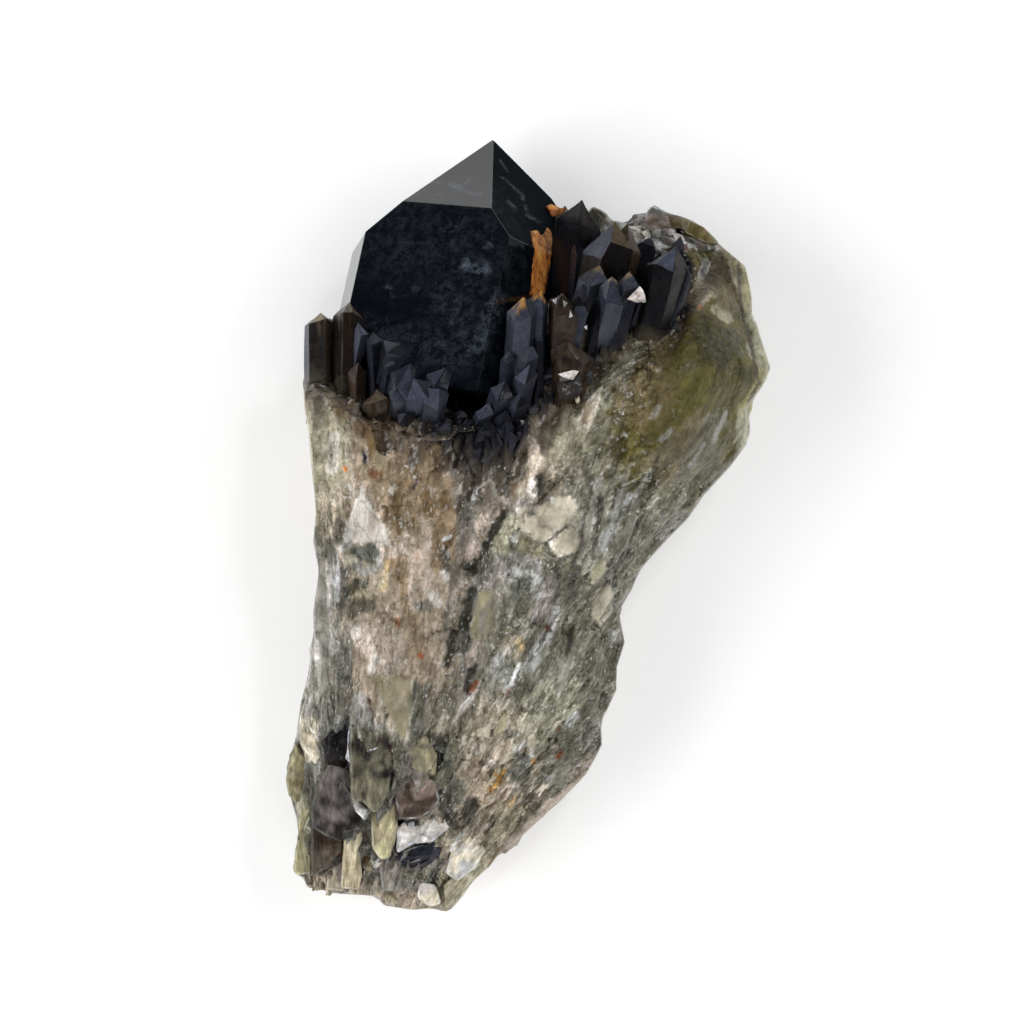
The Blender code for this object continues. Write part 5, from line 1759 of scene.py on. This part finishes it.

# %% [markdown]
# The broken end is a stack of glassy blocks, split along the fibres, and a few more stand on the upper rim.
# A block is a thicker plate: its top is broken into faces, and its tone changes from the top of the picture
# down, with pale edges that are partly painted highlights. Each face is painted lighter or darker by the
# direction it faces, and the sides that turn away from the top are painted in shade.

# %% Blocks of the broken end and of the upper rim
BLOCKS = {
    # tones above, below and along the edges, then as for plates: height, lift, tilts, thickness and corners;
    # the pale edge tones are partly painted highlights
    "top_spur": (
        "smoke grey", "lilac brown", "silver", 24.0, 0.0, 10, -26, 5.0,
        "642,229 646,215 652,205 658,207 665,211 673,214 671,222 674,230 656,231",
    ),
    "top_spur_b": (
        "smoke brown", "moss brown", "grey", 24.2, 0.0, -6, -22, 5.0,
        "664,211 681,216 691,221 689,232 678,228 668,231",
    ),
    "top_spur_c": (
        "olive", "moss brown", "pale olive", 24.8, 0.0, 12, -20, 4.0,
        "689,220 701,226 714,238 718,244 706,243 694,237 684,232",
    ),
    "back_clear": (
        "smoke brown", "smoke grey", "silver", 24.0, 0.0, -10, -18, 5.0,
        "587,214 592,206 600,209 608,215 608,232 596,236",
    ),
    "back_clear_b": (
        "silver", "smoke grey", "silver", 24.0, 0.0, 8, -16, 5.0,
        "606,214 613,220 628,224 640,231 634,240 606,238",
    ),
    "gap_cream": (
        "sand", "silver", "chalk", 24.4, 0.0, 0, -12, 4.0,
        "628,225 635,226 643,226 646,233 640,240 630,236",
    ),
    "sand_lump": (
        "sand", "pale sand", "chalk", None, 0.5, -14, 6, 3.0,
        "299,737 305,733 315,735 318,746 320,757 317,765 310,758 303,749",
    ),
    "olive_bulge": (
        "olive grey", "moss brown", "pale olive", None, 0.39, -24, 6, 4.0,
        "287,779 290,756 296,745 303,757 312,765 314,779 307,795 297,806 290,795",
    ),
    "scratched_face": (
        "black glass", "brown black", "smoke grey", None, 0.11, -12, 8, 3.0,
        "321,742 329,733 341,722 350,719 349,752 349,764 339,769 328,765",
    ),
    # painted sheen: a white line of light along the black glass
    "sheen_blade": (
        "silver", "lilac white", "white vein", None, 0.44, -24, 4, 2.0,
        "350,719 352,740 351,763 345,757 348,744 348,728",
    ),
    "smoky_glass": (
        "brown black", "moss grey", "grey", None, 0.5, 8, -4, 4.0,
        "352,726 370,738 384,733 394,743 393,763 388,787 383,802 375,811 369,806 362,800 353,800 351,770",
    ),
    "smoky_tip": (
        "smoke brown", "silver", "silver", None, 0.55, 18, -6, 3.0,
        "345,786 353,796 362,799 370,806 364,821 356,812",
    ),
    "glint_patch": (
        "lilac white", "silver", "white vein", None, 0.25, 10, 6, 0.5,
        "364,754 370,749 378,747 374,753 368,757",
    ),
    "brown_block_end": (
        "smoke lilac", "brown black", "smoke grey", None, 0.5, -8, 10, 4.0,
        "316,785 322,779 330,766 339,769 353,774 352,795 362,817 361,827 346,831 342,840 326,834 312,826",
    ),
    "brown_column": (
        "umber", "smoke brown", "smoke grey", None, 0.28, -4, 10, 4.0,
        "311,826 326,834 342,842 340,852 329,866 312,876",
    ),
    "upright_prism": (
        "pale honey", "honey grey", "pale sand", None, 0.66, 6, 10, 4.0,
        "342,886 344,839 348,831 358,828 364,829 360,847 361,874 358,888",
    ),
    "tall_block": (
        "honey grey", "honey green", "pale sand", None, 0.61, -6, 6, 4.0,
        "372,811 384,801 396,803 397,827 394,843 390,857 380,858 372,847",
    ),
    "tan_slab": (
        "moss grey", "olive grey", "sand", None, 0.33, 8, 4, 3.0,
        "396,740 412,736 428,738 437,755 435,774 424,775 408,764 397,766",
    ),
    "lilac_block": (
        "lilac brown", "umber", "silver", None, 0.66, -4, 8, 4.0,
        "397,789 408,781 424,777 436,784 438,799 431,811 418,817 398,819",
    ),
    "pale_plate": (
        "pale lilac", "silver", "lilac white", None, 0.72, 2, 10, 4.0,
        "397,829 404,823 424,819 434,811 443,817 450,827 441,835 431,842 414,843 404,849 398,852",
    ),
    "black_fan": (
        "navy", "black glass", "slate", None, 0.33, -2, 18, 3.0,
        "398,856 412,845 436,842 441,847 439,857 424,868 408,874 402,864",
    ),
    "grey_column": (
        "grey lilac", "grey", "silver", None, 0.66, 4, 8, 4.0,
        "380,859 393,857 400,868 399,890 382,891",
    ),
    "pale_cube": (
        "chalk", "pale sand", "white vein", None, 0.72, -6, 8, 2.0,
        "368,859 380,857 382,864 375,869",
    ),
    "orange_chip": (
        "bronze", "honey grey", "grey", None, 0.44, 8, 8, 2.0,
        "362,854 369,855 376,868 369,874 363,868",
    ),
    "left_column": (
        "olive grey", "honey green", "pale olive", None, 0.39, -12, 4, 4.0,
        "299,812 311,808 311,872 295,873 293,868 299,830",
    ),
    "foot_a": ("grey lilac", "sand", "pale sand", None, 0.5, -4, 12, 3.0, "328,868 344,860 343,890 326,889"),
    "foot_b": ("honey grey", "sand", "pale sand", None, 0.5, 4, 14, 3.0, "383,891 402,890 404,908 386,905"),
    "foot_c": (
        "pale lilac", "pale sand", "white vein", None, 0.66, 4, 12, 3.0,
        "420,884 436,886 441,902 428,907 418,898",
    ),
    "foot_d": (
        "olive grey", "pale sand", "pale olive", None, 0.5, 12, 10, 3.0,
        "445,884 467,868 475,876 458,900 446,908",
    ),
    "foot_e": (
        "pale sand", "silver", "chalk", None, 0.5, 8, 10, 3.0,
        "452,850 466,838 484,850 474,868 456,880 446,872",
    ),
    # painted sheen: silvery streaks of light on the black glass
    "sheen_streak_a": ("silver", "grey lilac", "slate", None, 0.7, 10, 14, 0.5, "399,853 414,847 424,845 412,849"),
    "sheen_streak_b": ("grey lilac", "silver", "slate", None, 0.7, -8, 14, 0.5, "402,858 418,852 430,848 418,854"),
    "sheen_streak_c": ("grey lilac", "slate", "slate", None, 0.7, 10, 14, 0.5, "406,864 418,859 426,855 419,861"),
    "sheen_streak_d": ("slate", "grey lilac", "slate", None, 0.7, -8, 14, 0.5, "411,869 421,864 430,859 422,866"),
}


BLOCK_SMOOTH_ANGLE = math.radians(9)


def block(name, above, below, edge, height, lift, right, down, thick, corners):
    """A plate with worn edges and uneven faces: one tone above, another below and a third along its edges,
    which is partly a painted highlight; each face is painted lighter or darker by its direction, and the
    sides are painted in shade.
    """
    centre = np.mean(corners, axis=0)
    if height is None and thick > 1:
        corners = [tuple(centre + (np.array(corner) - centre) * 1.05) for corner in corners]
    piece = plate(name, above, height, lift, right, down, thick, corners, 0.05 if thick < 1 else 0.30)
    top_face = max(piece.data.polygons, key=lambda face: face.area * face.normal.z)
    top_normal, top_index = top_face.normal.copy(), top_face.index
    pick(piece)
    if thick > 1:
        # the top is broken, so it is poked into faces that rise to an uneven point
        select_nothing()
        piece.data.polygons[top_index].select = True
        edit_mode()
        bpy.ops.mesh.poke(offset=0.5 * MM)
        object_mode()
        peak = piece.data.vertices[-1]
        push = noise.noise_vector(Vector((*centre, 7.7)) / 5.0)
        peak.co += Vector((push.x * 2.2, push.y * 2.2, 0)) * MM
    edit_all()
    bpy.ops.mesh.quads_convert_to_tris()
    if thick > 1:
        bpy.ops.mesh.subdivide(number_cuts=4)
    object_mode()
    mesh = piece.data
    rows = [py for px, py in corners]
    places = [vert.co / MM - SHIFT for vert in mesh.vertices]
    colours = np.ones((len(mesh.loops), 3))
    for face in mesh.polygons:
        turn = face.normal.dot(top_normal)
        # painted light: each face is lighter or darker by the direction it faces
        painted_facet_light = 1.15 + 0.6 * noise.noise(face.normal * 8.0 + Vector((*centre, 0.5)))
        for loop, vert in zip(face.loop_indices, face.vertices):
            share = (pixel_of(places[vert])[1] - min(rows)) / (max(rows) - min(rows))
            wander = 1.5 * noise.noise(places[vert] / 1.3 + SEED_OFFSET)
            share = min(max(0.5 + 1.3 * (share - 0.5) + wander, 0.0), 1.0)
            colour = over(np.array(albedo(above)), below, share)
            cloud = 0.9 * noise.noise(places[vert] / 0.8) + 0.5 * noise.noise(places[vert] / 0.35)
            colour = colour * 2 ** cloud * painted_facet_light
            # the worn edges get the edge tone: partly chipped quartz, partly a painted highlight
            if 0.2 < turn < 0.86:
                pale_rim_and_highlight = min(max(0.35 + 1.6 * noise.noise(places[vert] / 1.1 + SEED_OFFSET), 0.0), 0.85)
                colour = over(colour, edge, pale_rim_and_highlight)
            # painted shade: faces that turn away from the top are darker
            colours[loop] = colour * (0.6 if turn < 0.2 else 1.0)
    store_paint(mesh, colours, "CORNER")
    uneven = MM * min(thick / 3, 1.0)
    for vert, place in zip(mesh.vertices, places):
        vert.co += (noise.noise_vector(place / 2.0) * 0.26 + noise.noise_vector(place / 0.7) * 0.05) * uneven
        keep_in_box(vert)
    mesh.update()
    bpy.ops.object.shade_smooth_by_angle(angle=BLOCK_SMOOTH_ANGLE)
    return piece


surfaces[-1] = BVHTree.FromObject(root, bpy.context.evaluated_depsgraph_get())
blocks = [block(name, *look, spots(corners)) for name, (*look, corners) in BLOCKS.items()]
block_piece = joined("blocks", blocks)
store(block_piece, glassy=0.6, streaky=0.06, crisp=0.9)
print(len(BLOCKS), "blocks,", len(block_piece.data.polygons), "faces")

# %% [markdown]
# Iron-rich water left an orange crust in the gap beside the main crystal. It lies over the crystals like a
# cloth, so a grid is dropped on them, cut along a ragged outline and given a thickness.

# %% Iron crust between the main crystal and its neighbour
CRUST = {
    # thickness in mm, then the outline in pixels
    "strip": (
        0.25,
        "530,231 537,229 541,235 544,233 547,227 551,229 553,240 551,262 548,282 545,294 537,297 530,296"
        " 532,274 534,250",
    ),
    "patch": (0.3, "546,205 553,204 560,207 567,208 560,214 553,217"),
}


def draped(name, thick, outline, lumpy):
    """A thin piece that lies over the stone inside an outline of pixels."""
    (left, top), (right, bottom) = np.min(outline, axis=0), np.max(outline, axis=0)
    wide, high = right - left, bottom - top
    fresh_selection()
    columns, rows = int(wide * 1.2) + 2, int(high * 1.2) + 2
    bpy.ops.mesh.primitive_grid_add(x_subdivisions=columns, y_subdivisions=rows, size=2.0)
    piece = bpy.context.object
    piece.name = piece.data.name = name
    select_nothing()
    across = [left + (vert.co.x + 1) / 2 * wide for vert in piece.data.vertices]
    down = [top + (1 - vert.co.y) / 2 * high for vert in piece.data.vertices]
    pixels = np.column_stack((across, down))
    bend = np.array([noise.noise_vector(Vector((*pixel, 0.5)) / 5.0)[:2] for pixel in pixels]) * 3 * lumpy
    deep = depth_inside(pixels + bend, outline)
    for vert, (px, py), depth in zip(piece.data.vertices, pixels, deep):
        flat = seen_at(px, py, 30.0)
        height = top_height(flat.x, flat.y)
        lump = noise.noise(Vector((px / 3.0, py / 4.0, 1.5)))
        lump += 0.5 * noise.noise(Vector((px / 1.4, py / 2.0, 4.5)))
        place = seen_at(px, py, height + thick * (0.5 + lumpy * lump) * min(max(depth, 0) / 1.5, 1) + 0.1)
        vert.co = (place + SHIFT) * MM
        vert.select = bool(depth < 0)
    edit_mode()
    bpy.ops.mesh.delete(type="VERT")
    object_mode()
    apply_modifier(piece, "SOLIDIFY", "thickness", thickness=0.35 * MM, offset=-1.0)
    return piece


crusts = [draped(name, thick, spots(outline), 0.35) for name, (thick, outline) in CRUST.items()]
crust_piece = joined("iron_crust", crusts)
print("iron crust", len(crust_piece.data.polygons), "faces")

# %% [markdown]
# A fine pale dust dulls the main crystal's faces in places, with a few bright scratches. It is stored like
# the root's colours: strokes along paths over the picture, here of one value only.

# %% Dust on the main crystal
DUST = (
    # strength, half width in pixels, then the path in pixels
    (0.14, 60, "400,240 470,240 480,330"),
    (0.26, 26, "450,300 470,335"),
    (0.95, 7, "466,264 474,270 484,268"),
    (0.6, 3, "484,248 492,242"),
    (0.9, 0.9, "455,225 452,232 450,245"),
    (0.8, 0.9, "392,296 393,306"),
    (0.7, 1.2, "386,287 391,287"),
    (0.7, 1.4, "411,287 417,288"),
    (0.6, 1.0, "462,290 468,284"),
    (0.45, 22, "362,334 400,350"),
    (0.30, 26, "400,345 450,356"),
    (0.5, 12, "470,350 488,330 495,300"),
    (0.75, 3.2, "448,184 462,188 470,180"),
    (0.75, 3.2, "466,193 480,194"),
    (0.55, 2.4, "425,184 440,182"),
    (0.16, 16, "410,196 484,200"),
    (0.5, 2.0, "430,195 440,194"),
    (0.6, 1.4, "502,176 514,188 524,196"),
    (0.5, 2.2, "508,200 516,210"),
    (0.5, 2.0, "522,196 528,216 540,222"),
    (0.45, 1.2, "500,160 508,172"),
)
places = [vert.co / MM - SHIFT for vert in main_crystal.data.vertices]
pixels = np.array([pixel_of(place) for place in places])
dust = np.zeros(len(places))
for strength, width, path in DUST:
    dust = np.maximum(dust, strength * np.clip(1.3 - how_near(pixels, spots(path)) / width, 0, 1))
store(main_crystal, dust=dust)
print("dust reaches", round(float((dust > 0.05).mean()), 2), "of the main crystal's points")

# %% [markdown]
# ## Materials
# Every pattern reads object coordinates, so it stays on the stone. What several materials share is a node
# group. The first gives a point's place in millimetres, and its fan coordinates: across the fibres, along
# them, and up.

# %% Node group: fan coordinates, in millimetres
fan_group = bpy.data.node_groups.new("fan coordinates", "ShaderNodeTree")
for socket in ("Fan", "Place"):
    fan_group.interface.new_socket(socket, in_out="OUTPUT", socket_type="NodeSocketVector")
object_place = put(fan_group, "ShaderNodeTexCoord").outputs["Object"]
in_mm = vector_math(fan_group, "SCALE", i0=object_place, Scale=1 / MM)
parts = put(fan_group, "ShaderNodeSeparateXYZ", Vector=in_mm).outputs
dx = math_of(fan_group, "SUBTRACT", parts[0], FAN_X + SHIFT.x)
dy = math_of(fan_group, "SUBTRACT", parts[1], FAN_Y + SHIFT.y)
across = times(fan_group, math_of(fan_group, "ARCTAN2", dx, dy), FAN_REACH)
along = math_of(fan_group, "SQRT", plus(fan_group, times(fan_group, dx, dx), times(fan_group, dy, dy)))
fan_vector = put(fan_group, "ShaderNodeCombineXYZ", X=across, Y=along, Z=parts[2]).outputs[0]
put(fan_group, "NodeGroupOutput", Fan=fan_vector, Place=in_mm)


def coordinates(tree):
    """The two outputs of the group above, in another tree."""
    return put(tree, "ShaderNodeGroup", {"node_tree": fan_group}).outputs


# %% [markdown]
# The second is the grain of cloudy quartz. Its tone swings round zero: long streaks and fine fibres along
# the fan, soft clouds, specks, and three sizes of broken cells that stand for chips. It also gives a height
# for the bump, the places where small grains are painted white, as sugary grains and as painted glints,
# and a normal that tips from cell to cell, as the faces of chips do.

# %% Node group: the grain of cloudy quartz
MIDDLE = (0.5, 0.5, 0.5)
grain_group = bpy.data.node_groups.new("quartz grain", "ShaderNodeTree")
for socket in ("Streaks", "Crispness"):
    grain_group.interface.new_socket(socket, in_out="INPUT", socket_type="NodeSocketFloat")
for socket, kind in (("Tone", "Float"), ("Height", "Float"), ("Sugar", "Float"), ("Normal", "Vector")):
    grain_group.interface.new_socket(socket, in_out="OUTPUT", socket_type=f"NodeSocket{kind}")
traits = put(grain_group, "NodeGroupInput").outputs
streaks, crispness = traits["Streaks"], traits["Crispness"]
fan_vector, place_vector = coordinates(grain_group)

# the cells' coordinates are shaken, so that their outlines break up
shake = put(grain_group, "ShaderNodeTexNoise", Vector=fan_vector, Scale=1 / 0.8, Detail=4.0, Roughness=0.7)
shake = vector_math(grain_group, "SUBTRACT", i0=shake.outputs["Color"], i1=MIDDLE)
shake = vector_math(grain_group, "SCALE", i0=shake, Scale=0.7)
broken = vector_math(grain_group, "ADD", i0=fan_vector, i1=shake)
small_cells = cells(grain_group, broken, 0.30, 0.55, 2.0)
large_cells = cells(grain_group, broken, 0.9, 2.6, 4.0)
shard_cells = cells(grain_group, broken, 2.1, 6.5, 11.0)
small_parts, large_parts, shard_parts = (
    put(grain_group, "ShaderNodeSeparateColor", Color=made.outputs["Color"]).outputs
    for made in (small_cells, large_cells, shard_cells)
)
streak = stretched(grain_group, fan_vector, 0.8, 11.0, 6, 0.66, 3.1, 0.6)
fibre = stretched(grain_group, fan_vector, 0.30, 2.6, 5, 0.7, 7.7, 0.4)
cloud = stretched(grain_group, place_vector, 2.6, 2.6, 10, 0.78, 1.3, 0.5)
speck = stretched(grain_group, place_vector, 0.6, 0.6, 8, 0.8, 5.2, 0.4)

# %% The grain's tone
tone = 0.07
for value, share in (
    (streak, times(grain_group, streaks, 1.1)),
    (fibre, times(grain_group, plus(grain_group, streaks, 0.25), 0.65)),
    (cloud, 1.35),
    (speck, times(grain_group, crispness, 0.8)),
    (small_parts[0], times(grain_group, crispness, 0.22)),
    (large_parts[0], times(grain_group, crispness, 0.34)),
    (shard_parts[0], times(grain_group, crispness, 0.36)),
    (large_cells.outputs["Distance"], times(grain_group, crispness, -0.22)),
    (shard_cells.outputs["Distance"], times(grain_group, crispness, -0.22)),
):
    swing = math_of(grain_group, "SUBTRACT", value, 0.5)
    tone = plus(grain_group, tone, times(grain_group, swing, share))
edge = cells(grain_group, broken, 1.7, 5.0, 6.0, "DISTANCE_TO_EDGE").outputs["Distance"]
crack_zone = remap(grain_group, stretched(grain_group, place_vector, 5.0, 5.0, 3, 0.6, 9.0), 0.48, 0.60)
crack = times(grain_group, remap(grain_group, edge, 0.0, 0.05, 1.0, 0.0), crack_zone)
tone = math_of(grain_group, "SUBTRACT", tone, times(grain_group, crack, 0.35))

# %% The grain's sugar and painted glints, height and normal
# white sugary grains, which also stand in as painted glints
sugar_and_glint_zone = remap(grain_group, stretched(grain_group, place_vector, 3.0, 3.0, 6, 0.8, 21.0), 0.47, 0.62)
sugar_and_glints = times(grain_group, remap(grain_group, small_parts[1], 0.82, 0.92), sugar_and_glint_zone)
height = times(grain_group, fibre, times(grain_group, streaks, 0.5))
height = plus(grain_group, height, times(grain_group, speck, 0.5))
height = plus(grain_group, height, times(grain_group, large_parts[1], 0.4))
height = math_of(grain_group, "SUBTRACT", height, times(grain_group, crack, 0.4))
tilts = mixed(grain_group, 0.6, large_cells.outputs["Color"], small_cells.outputs["Color"])
tilts = vector_math(grain_group, "SUBTRACT", i0=tilts, i1=MIDDLE)
tilts = vector_math(grain_group, "SCALE", i0=tilts, Scale=0.9)
outward = put(grain_group, "ShaderNodeNewGeometry").outputs["Normal"]
tilted = vector_math(grain_group, "NORMALIZE", i0=vector_math(grain_group, "ADD", i0=outward, i1=tilts))
put(grain_group, "NodeGroupOutput", Tone=tone, Height=height, Sugar=sugar_and_glints, Normal=tilted)
print(len(grain_group.nodes), "nodes make the grain")

# %% [markdown]
# Cloudy quartz scatters light from small cracks and fibres inside it. Here the brushed colour is made
# lighter and darker by the grain, light goes a little way in, and the glassy places are calmer, smoother
# and without bumps.

# %% Cloudy quartz of the root, the plates and the blocks
QUARTZ_IOR = 1.544
SUGAR_AND_GLINT_WHITE = (0.72, 0.71, 0.68)


def cloudy_quartz(name, contrast, low_gloss, high_gloss, bump_mm, translucent):
    """Cloudy quartz with a contrast, a lowest and highest roughness, a depth of bumps and a translucency."""
    material, tree, shader = new_material(name)
    traits = {"Streaks": stored(tree, "streaky"), "Crispness": stored(tree, "crisp")}
    grain = put(tree, "ShaderNodeGroup", {"node_tree": grain_group}, **traits).outputs
    glassy = stored(tree, "glassy")
    calm = math_of(tree, "SUBTRACT", 1.0, times(tree, glassy, 0.75))
    tone = times(tree, times(tree, grain["Tone"], contrast), calm)
    lift = math_of(tree, "POWER", 2.0, tone)
    blue_lift = math_of(tree, "POWER", 2.0, times(tree, tone, 1.12))
    value = put(tree, "ShaderNodeCombineColor", Red=lift, Green=lift, Blue=blue_lift).outputs[0]
    colour = mixed(tree, 1.0, stored(tree, "paint", "Color"), value, "MULTIPLY")
    # painted glints: the sugary grains are mixed towards white
    sugar_and_glint_share = times(tree, grain["Sugar"], times(tree, math_of(tree, "POWER", calm, 3.0), 0.8))
    gloss = remap(tree, grain["Tone"], -0.5, 0.6, low_gloss, high_gloss)
    plain = put(tree, "ShaderNodeNewGeometry").outputs["Normal"]
    facets = mixed(tree, glassy, grain["Normal"], plain)
    relief = times(tree, grain["Height"], calm)
    bump = put(tree, "ShaderNodeBump", Strength=0.8, Distance=bump_mm * MM, Height=relief, Normal=facets)
    plug(
        tree, shader,
        Base_Color=mixed(tree, sugar_and_glint_share, colour, SUGAR_AND_GLINT_WHITE),
        Roughness=times(tree, gloss, plus(tree, times(tree, calm, 0.5), 0.5)),
        Normal=bump.outputs[0], IOR=QUARTZ_IOR, Specular_IOR_Level=0.28,
        Subsurface_Weight=translucent, Subsurface_Radius=(1.0, 0.9, 0.7), Subsurface_Scale=0.8 * MM,
    )
    return material


root_quartz = cloudy_quartz("cloudy root quartz", 2.75, 0.22, 0.6, 0.20, 0.25)

# %% [markdown]
# The side crystals are smooth, but not polished: growth steps cross their faces, and small hillocks dull
# them. Their colour is the one that each facet was given, painted reflections included, a little smudged.

# %% Smoky crystals
crystal_quartz, tree, shader = new_material("smoky crystal quartz")
fan_vector, place_vector = coordinates(tree)
smudge = stretched(tree, place_vector, 1.6, 1.6, 6, 0.7, 2.0, 0.8)
lift = remap(tree, smudge, 0.32, 0.68, 0.72, 1.35)
value = put(tree, "ShaderNodeCombineColor", Red=lift, Green=lift, Blue=lift).outputs[0]
steps = stretched(tree, fan_vector, 3.0, 0.35, 4, 0.65, 8.0, 0.5)
hillocks = stretched(tree, place_vector, 0.8, 0.8, 5, 0.7, 3.0)
height = plus(tree, times(tree, steps, 0.7), hillocks)
plug(
    tree, shader,
    Base_Color=mixed(tree, 1.0, stored(tree, "paint", "Color"), value, "MULTIPLY"),
    Roughness=remap(tree, smudge, 0.35, 0.65, 0.18, 0.42),
    Normal=put(tree, "ShaderNodeBump", Strength=0.5, Distance=0.06 * MM, Height=height).outputs[0],
    IOR=QUARTZ_IOR, Specular_IOR_Level=0.22,
)

# %% [markdown]
# The main crystal is so dark that almost all one sees is what it mirrors, and the dust on it. One face to
# the right would mirror the bright floor, so it has a second material with no mirror gloss, and the dark
# reflection it shows is painted into its colour.


# %% Main crystal's quartz
def near_black(name, specular, dark, haze):
    """Dark polished quartz with dust on it."""
    material, tree, shader = new_material(name)
    place = coordinates(tree)["Place"]
    specks = stretched(tree, place, 0.26, 0.26, 2, 0.6, 6.0)
    patchy = remap(tree, stretched(tree, place, 1.5, 1.5, 10, 0.8, 4.0, 0.2), 0.44, 0.66)
    patches = remap(tree, plus(tree, patchy, times(tree, specks, 0.8)), 0.4, 1.15)
    speckled = times(tree, remap(tree, specks, 0.70, 0.76), 0.4)
    share = math_of(tree, "ADD", times(tree, stored(tree, "dust"), patches), speckled, clamp=True)
    plug(
        tree, shader,
        Base_Color=mixed(tree, share, dark, haze),
        Roughness=remap(tree, share, 0.0, 0.8, 0.05, 0.45),
        IOR=QUARTZ_IOR, Specular_IOR_Level=specular,
    )
    return material


morion = near_black("near-black quartz", 0.5, (0.0012, 0.0020, 0.0034), (0.10, 0.12, 0.15))
# painted reflection: the right face's dark mirror image is its base colour, without gloss
painted_reflection = near_black("veiled dark quartz", 0.0, (0.0085, 0.0112, 0.0135), (0.16, 0.19, 0.19))

# %% [markdown]
# The iron crust runs from near-black through rust to ochre, in patches and seams that follow its length.

# %% Iron crust's material
iron, tree, shader = new_material("iron crust")
place = coordinates(tree)["Place"]
patch = stretched(tree, place, 1.4, 4.0, 4, 0.7, 3.0)
crumbs = stretched(tree, place, 0.35, 0.8, 5, 0.75, 8.0)
seams = stretched(tree, place, 0.7, 6.0, 4, 0.7, 5.0, 0.6)
mix = plus(tree, plus(tree, times(tree, patch, 0.5), times(tree, crumbs, 0.2)), times(tree, seams, 0.3))
RUST_STOPS = (
    (0.42, (0.020, 0.010, 0.006)),
    (0.47, (0.42, 0.13, 0.025)),
    (0.54, (0.66, 0.26, 0.05)),
    (0.62, (0.72, 0.46, 0.12)),
)
bump = put(tree, "ShaderNodeBump", Strength=0.8, Distance=0.2 * MM, Height=crumbs)
plug(tree, shader, Base_Color=colour_ramp(tree, mix, *RUST_STOPS), Roughness=0.7, Normal=bump.outputs[0])

# %% [markdown]
# Two crystals are clear enough to show the brown of the smoky kind in their bodies, so light passes through
# them and is absorbed on its way.


# %% Clear brown quartz
def smoky_glass(name, tone, share, absorbs, density, roughness):
    """Clear quartz with the brown of the smoky kind in its body."""
    material, tree, shader = new_material(name)
    veil = remap(tree, stretched(tree, coordinates(tree)["Place"], 2.2, 3.0, 6, 0.7, 4.0, 0.6), 0.40, 0.66)
    plug(
        tree, shader,
        Base_Color=mixed(tree, veil, tone, (0.20, 0.135, 0.085)),
        Roughness=roughness, IOR=QUARTZ_IOR, Specular_IOR_Level=0.3, Transmission_Weight=share,
    )
    body = put(tree, "ShaderNodeVolumeAbsorption", Density=density, Color=(*absorbs, 1))
    plug(tree, tree.nodes["Material Output"], Volume=body.outputs[0])
    return material


brown_quartz = smoky_glass("clear brown quartz", (0.040, 0.024, 0.014), 0.75, (0.62, 0.46, 0.30), 120.0, 0.20)

# %% Dress the pieces
for piece, material in (
    (main_crystal, morion),
    (side_piece, crystal_quartz),
    (druse, crystal_quartz),
    (brown_piece, brown_quartz),
    (root, root_quartz),
    (plate_piece, root_quartz),
    (block_piece, root_quartz),
    (crust_piece, iron),
):
    piece.data.materials.clear()
    piece.data.materials.append(material)
    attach(piece, "root")
    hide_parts(NODE)
# the right face gets the material with the painted dark reflection
main_crystal.data.materials.append(painted_reflection)
right_slope = Vector((0.637, 0.65, 0.415)).normalized()
for polygon in main_crystal.data.polygons:
    polygon.material_index = int(polygon.normal.dot(right_slope) > 0.995)
print("veiled faces", sum(polygon.material_index for polygon in main_crystal.data.polygons))
